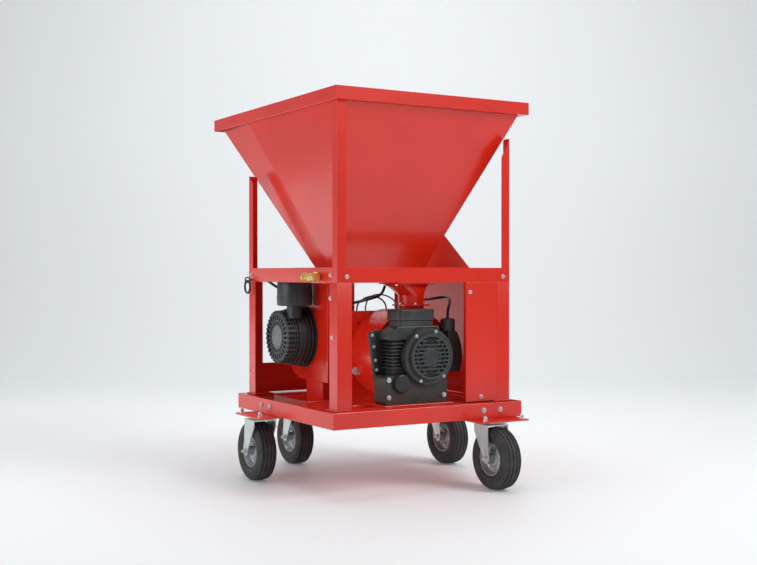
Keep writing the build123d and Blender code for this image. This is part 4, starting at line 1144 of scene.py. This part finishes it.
@dataclass(frozen=True)
class Canister:
    """The blower's intake canister, with its moulded seam and lid."""

    high: float = 0.148
    seam_down: float = 0.113
    neck: float = 0.0335

    def build(self, finishes: Finishes) -> None:
        """Makes the canister and its neck.

        Args:
            finishes: The machine's finishes.
        """
        low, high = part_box("intake_canister")
        radius = (high.x - low.x) / 2
        centre = Vector(((low.x + high.x) / 2, (low.y + high.y) / 2, 0.0))
        bottom, top, seam = high.z - self.high, high.z, high.z - self.seam_down
        outline = [(low.z + 0.020, self.neck), (bottom, self.neck), (bottom, radius - 0.008),
                   (bottom + 0.003, radius - 0.003),
                   (bottom + 0.008, radius - 0.002), (seam - 0.004, radius - 0.002), (seam - 0.003, radius),
                   (seam - 0.0006, radius), (seam - 0.0004, radius - 0.003), (seam + 0.0004, radius - 0.003),
                   (seam + 0.0006, radius), (seam + 0.003, radius), (seam + 0.004, radius - 0.002),
                   (top - 0.010, radius - 0.003), (top - 0.004, radius - 0.006),
                   (top - 0.0015, radius - 0.014),
                   (top, radius - 0.016), (top, 0.018), (top - 0.003, 0.016), (top - 0.003, 0.0)]
        can = turned("canister_finish", outline, Axis.Z, centre, finishes.canister, 120)
        placed(can, "chassis", "black_plastic", "intake_canister")


# ---------------------------------------------------------------- engine


@dataclass(frozen=True)
class Starter:
    """The engine's round starter cover: level slots beside a plain disc, and a slotted flank."""

    bars: int = 9
    pitch: float = 0.0165
    bar: Point = (0.99, 0.004, 0.0068)
    lip: float = 0.021
    step: float = 0.016
    ribs: int = 40
    rib: Point = (0.013, 0.0045, 0.0020)

    def build(self, finishes: Finishes) -> None:
        """Makes the dish, its bars, centre and flank.

        Args:
            finishes: The machine's finishes.
        """
        low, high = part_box("starter_cover")
        radius = (high.x - low.x) / 2
        front, back = low.y, high.y
        centre = Vector(((low.x + high.x) / 2, 0.0, (low.z + high.z) / 2))
        grille, step = radius - self.lip, front + self.step
        plastic = finishes.plastic

        def ring(name: str, outline: Sequence[tuple[float, float]]) -> bpy.types.Object:
            """A closed ring about the crank's axis."""
            return turned(name, outline, Axis.Y, centre, plastic, 128, ring=True)

        skirt = ring("starter_skirt", [(back, radius), (step + 0.003, radius), (step, radius - 0.003),
                                       (step, grille - 0.002), (step + 0.004, grille - 0.006),
                                       (back, grille - 0.006)])
        rim = ring("starter_rim", [(step, grille), (front + 0.003, grille - 0.001), (front, grille - 0.004),
                                   (front, grille - 0.012), (front + 0.004, grille - 0.014),
                                   (step, grille - 0.008)])
        bars = clipped_rows("starter_bars", self.bars, self.pitch, grille - 0.010, self.bar,
                            centre + Vector((0.0, front + 0.003, 0.0)), plastic)
        disc = turned("starter_disc", [(front + 0.0002, 0.0), (front + 0.0002, 0.033),
                                       (front + 0.0015, 0.036), (front + 0.007, 0.037)],
                      Axis.Y, centre, plastic, 96)
        cup, arc = (ring(name, [(front + proud, inner), (front + proud, inner + 0.003),
                                (front + 0.005, inner + 0.003), (front + 0.005, inner)])
                    for name, proud, inner in (("starter_cup", 0.0004, 0.041),
                                               ("starter_arc", 0.0010, 0.066)))
        # The well behind the bars takes the darker hose rubber finish as painted shade.
        well = turned("starter_well_painted_shade", [(front + 0.011, 0.0), (front + 0.011, grille - 0.012),
                                       (step, grille - 0.007)], Axis.Y, centre, finishes.hose, 96)
        flank = ring_of_bars("starter_flank", self.ribs, radius - 0.010, self.rib, Axis.Y,
                             centre + Vector((0.0, step - 0.0002, 0.0)), plastic)
        whole = merge("starter_cover_finish", (skirt, rim, bars, disc, cup, arc, well, flank))
        placed(whole, "chassis", "black_plastic", "starter_cover")


@dataclass(frozen=True)
class Cylinder:
    """Cooling fins beside the crank."""

    edge: float = 0.0006

    def build(self, finishes: Finishes) -> None:
        """Rounds the cast fins' edges.

        Args:
            finishes: The machine's finishes.
        """
        rounded("cylinder_fins", self.edge, finishes.casting, "chassis", "cast_black")


@dataclass(frozen=True)
class AirFilter:
    """Angular air filter box: a base, a lid over it and a raised panel on the lid."""

    seam: float = 0.34
    corner: float = 0.014

    def build(self, finishes: Finishes) -> None:
        """Makes the base, the lid and its panel.

        Args:
            finishes: The machine's finishes.
        """
        low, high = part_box("air_filter_box")
        centre = (low + high) / 2
        size = high - low

        def slab(name: str, grow: float, floor: float, roof: float, edge: float) -> bpy.types.Object:
            """A box with rounded upright corners and a bevelled top.

            Args:
                name: Its name.
                grow: How much wider it is than the node's box.
                floor: Its lowest height.
                roof: Its highest height.
                edge: Width of the bevel round its top.

            Returns:
                The box.
            """
            work = bmesh.new()
            bmesh.ops.create_cube(work, size=1.0)
            scale = Matrix.Diagonal((size.x + grow, size.y + grow, roof - floor, 1.0))
            middle = Vector((centre.x, centre.y, (floor + roof) / 2))
            bmesh.ops.transform(work, matrix=Matrix.Translation(middle) @ scale, verts=work.verts)
            upright = [e for e in work.edges if abs(e.verts[0].co.z - e.verts[1].co.z) > 1e-4]
            bmesh.ops.bevel(work, geom=upright, offset=self.corner, segments=4, affect="EDGES", profile=0.5)
            top = [e for e in work.edges if all(v.co.z > roof - SAME_POINT for v in e.verts)
                   and len(e.link_faces) == 2 and any(abs(f.normal.z) < 0.5 for f in e.link_faces)]
            bmesh.ops.bevel(work, geom=top, offset=edge, segments=3, affect="EDGES", profile=0.5)
            mesh = mesh_of(name, work)
            mesh.materials.append(finishes.enamel)
            soften(mesh)
            return object_from(name, mesh)

        seam = low.z + size.z * self.seam
        base = slab("filter_base", -0.008, low.z, seam, 0.001)
        lid = slab("filter_lid", 0.0, seam + 0.0015, high.z, 0.007)
        panel = slab("filter_panel", -0.030, seam + 0.010, high.z + 0.0002, 0.004)
        whole = merge("air_filter_finish", (base, lid, panel))
        placed(whole, "chassis", "black_enamel", "air_filter_box")


# ---------------------------------------------------------------- screws


# Points of a screw this near its end belong to that end, in metres.
SAME_LEVEL = 2e-4
# On each head: what it is, its finish, its radius as a share, its depth below and above, its top's share.
HEAD_RINGS = (("ring", "bolt", 0.80, -0.0006, 0.0005, 0.66),
              ("dish", "grey_plastic", 0.50, -0.0004, 0.0007, 0.44))
# Facets round each.
HEAD_FACETS = 24


@dataclass(frozen=True)
class Head:
    """Where a screw head stands, which way it faces and how big it is."""

    tip: Vector
    facing: Vector
    radius: float


def loose_parts(mesh: bpy.types.Mesh) -> list[list[Vector]]:
    """The separate parts of a mesh.

    Args:
        mesh: The mesh.

    Returns:
        Each part's points.
    """
    work = bmesh.new()
    work.from_mesh(mesh)
    bmesh.ops.remove_doubles(work, verts=work.verts, dist=SAME_POINT)
    work.verts.ensure_lookup_table()
    seen: set[int] = set()
    parts = []
    for vertex in work.verts:
        if vertex.index in seen:
            continue
        stack, found = [vertex], []
        seen.add(vertex.index)
        while stack:
            here = stack.pop()
            found.append(here.co.copy())
            for edge in here.link_edges:
                other = edge.other_vert(here)
                if other.index not in seen:
                    seen.add(other.index)
                    stack.append(other)
        parts.append(found)
    work.free()
    return parts


def heads_of(node: str) -> list[Head]:
    """Every screw head in a CAD node: each faces away from its washer, which is the wider end.

    Args:
        node: The CAD node.

    Returns:
        The heads.
    """
    heads = []
    for points in loose_parts(bpy.data.objects[node].data):
        low = Vector([min(p[n] for p in points) for n in range(3)])
        high = Vector([max(p[n] for p in points) for n in range(3)])
        size, middle = high - low, (low + high) / 2
        axis = min(range(3), key=lambda n: size[n])
        others = [n for n in range(3) if n != axis]

        def reach(at: float) -> float:
            """The widest distance from the screw's axis at one end."""
            near = [p for p in points if abs(p[axis] - at) < SAME_LEVEL]
            return max((math.hypot(p[others[0]] - middle[others[0]], p[others[1]] - middle[others[1]])
                        for p in near), default=0.0)

        sign = 1.0 if reach(low[axis]) > reach(high[axis]) else -1.0
        facing = Vector([sign if n == axis else 0.0 for n in range(3)])
        tip = middle.copy()
        tip[axis] = high[axis] if sign > 0 else low[axis]
        heads.append(Head(tip, facing, reach(tip[axis])))
    return heads


def head_details(node: str, finishes: Finishes) -> bpy.types.Object:
    """A raised ring round a darker dished centre on every screw head of a node.

    Args:
        node: The CAD node with the screws.
        finishes: The finishes.

    Returns:
        The new piece.
    """
    heads = heads_of(node)
    points = bpy.data.meshes.new(f"{node}_points")
    points.from_pydata([tuple(h.tip) for h in heads], [], [])
    facing = points.attributes.new("facing", "FLOAT_VECTOR", "POINT")
    facing.data.foreach_set("vector", [c for h in heads for c in h.facing])
    radius = points.attributes.new("reach", "FLOAT", "POINT")
    radius.data.foreach_set("value", [h.radius for h in heads])
    pieces = []
    for label, coat, share, low, high, top in HEAD_RINGS:
        repeat = Repeat(f"{node}_{label}", getattr(finishes, coat))
        repeat.tree.interface.new_socket("Points", in_out="INPUT", socket_type="NodeSocketGeometry")
        repeat.socket("Share", "NodeSocketFloat", share)
        group = repeat.add("NodeGroupInput")
        named, size = (repeat.add("GeometryNodeInputNamedAttribute", {"data_type": kind}, {"Name": name})
                       for kind, name in (("FLOAT_VECTOR", "facing"), ("FLOAT", "reach")))
        turn = repeat.add("FunctionNodeAlignRotationToVector", {"axis": "Z"},
                          {"Vector": named.outputs["Attribute"]})
        wide = repeat.maths("MULTIPLY", size.outputs["Attribute"], group.outputs["Share"])
        scale = repeat.add("ShaderNodeCombineXYZ", inputs={0: wide, 1: wide, 2: 1.0})
        cone = repeat.add("GeometryNodeMeshCone", {}, {"Vertices": HEAD_FACETS, "Radius Top": top / share,
                                                       "Radius Bottom": 1.0, "Depth": high - low})
        sunk = repeat.add("GeometryNodeTransform", inputs={"Geometry": cone.outputs["Mesh"],
                                                           "Translation": (0.0, 0.0, low)})
        piece = bpy.data.objects.new("seed", points.copy())
        bpy.context.scene.collection.objects.link(piece)
        pieces.append(repeat.bake(group.outputs["Points"], sunk.outputs[0], turn.outputs[0],
                                  scale.outputs[0], Matrix.Identity(4), piece))
    bpy.data.meshes.remove(points)
    return merge(f"{node}_details", pieces)


# ---------------------------------------------------------------- the whole machine


@dataclass(frozen=True)
class Rounding:
    """A CAD node that gets worked edges and a finish."""

    node: str
    width: float
    finish: str
    slot: str
    body: str = "chassis"
    crease: float = WORKED_CREASE


# Width of the rounding on each red sheet or tube.
RED_EDGES = {
    "base_rails": 0.0030, "base_cross_members": 0.0024, "lower_posts": 0.0016, "mid_rails": 0.0016,
    "upper_posts": 0.0014, "hopper_rim": 0.0034, "hopper_walls": 0.0008, "hopper_funnel": 0.0008,
    "hopper_brace": 0.0010, "front_panel": 0.0010, "side_panel": 0.0010, "rear_shield": 0.0010,
    "drum_shell": 0.0014, "casing_plate": 0.0014, "caster_plates": 0.0018, "blower_scroll": 0.0012,
    "transfer_duct": 0.0012,
}
# The shallowest folds of these, in degrees, stay crisp.
CRISP = {"hopper_walls": 2.0, "hopper_funnel": 2.0}

ROUNDINGS = (
    *(Rounding(node, width, "red", "red_powder_coat", crease=CRISP.get(node, WORKED_CREASE))
      for node, width in RED_EDGES.items()),
    Rounding("crankcase", 0.0026, "casting", "cast_black"),
    Rounding("engine_shroud", 0.0022, "enamel", "black_enamel"),
    Rounding("motor_housing", 0.0010, "plastic", "black_plastic"),
    Rounding("caster_tops", 0.0012, "zinc", "zinc_plate"),
    Rounding("frame_bolts", 0.0006, "bolt", "zinc_plate"),
    Rounding("engine_bolts", 0.0006, "bolt", "zinc_plate"),
    Rounding("coupler_body", 0.0007, "brass", "brass"),
    Rounding("coupler_sleeve", 0.0008, "brass", "brass", "coupler_sleeve"),
    *(Rounding(f"caster_fork_{name}", 0.0010, "zinc", "zinc_plate", f"swivel_{name}")
      for name in ("left", "front", "back", "right")),
)

# The finish of each CAD node that keeps its own shape.
FINISH_OF = {
    "hopper_throat": "red", "anvil": "steel", "drum_plug": "bolt", "crankshaft": "steel",
    "rotor_disc": "steel", "rotor_knives": "steel", "flywheel_fan": "plastic", "bearings": "steel",
    "muffler": "casting", "ignition_cap": "plastic", "crankcase_lid": "enamel", "blower_shaft": "steel",
    "blower_impeller": "steel", "lashing_eye": "casting", "lashing_ring": "casting",
}


@dataclass
class Machine:
    """The wood chipper's visual model."""

    finishes: Finishes = field(default_factory=Finishes)

    def build(self) -> None:
        """Makes every piece, cords first."""
        Hoses().build(self.finishes)
        for name in ("left", "front", "back", "right"):
            Wheel(name).build(self.finishes)
        for part in (FanCover(), Canister(), Starter(), Cylinder(), AirFilter()):
            part.build(self.finishes)
        for node in ("frame_bolts", "engine_bolts"):
            placed(head_details(node, self.finishes), "chassis", "zinc_plate")
        for item in ROUNDINGS:
            rounded(item.node, item.width, getattr(self.finishes, item.finish), item.body, item.slot,
                    item.crease)
        for node, finish in FINISH_OF.items():
            mesh = bpy.data.objects[node].data
            mesh.materials.clear()
            mesh.materials.append(getattr(self.finishes, finish))


def main() -> None:
    """Builds the scene."""
    logging.basicConfig(level=logging.INFO, format="%(name)s %(message)s")
    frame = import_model()
    log.info("frame with %d nodes", len(frame["nodes"]))
    Studio().build()
    Machine().build()


if __name__ == "__main__":
    main()
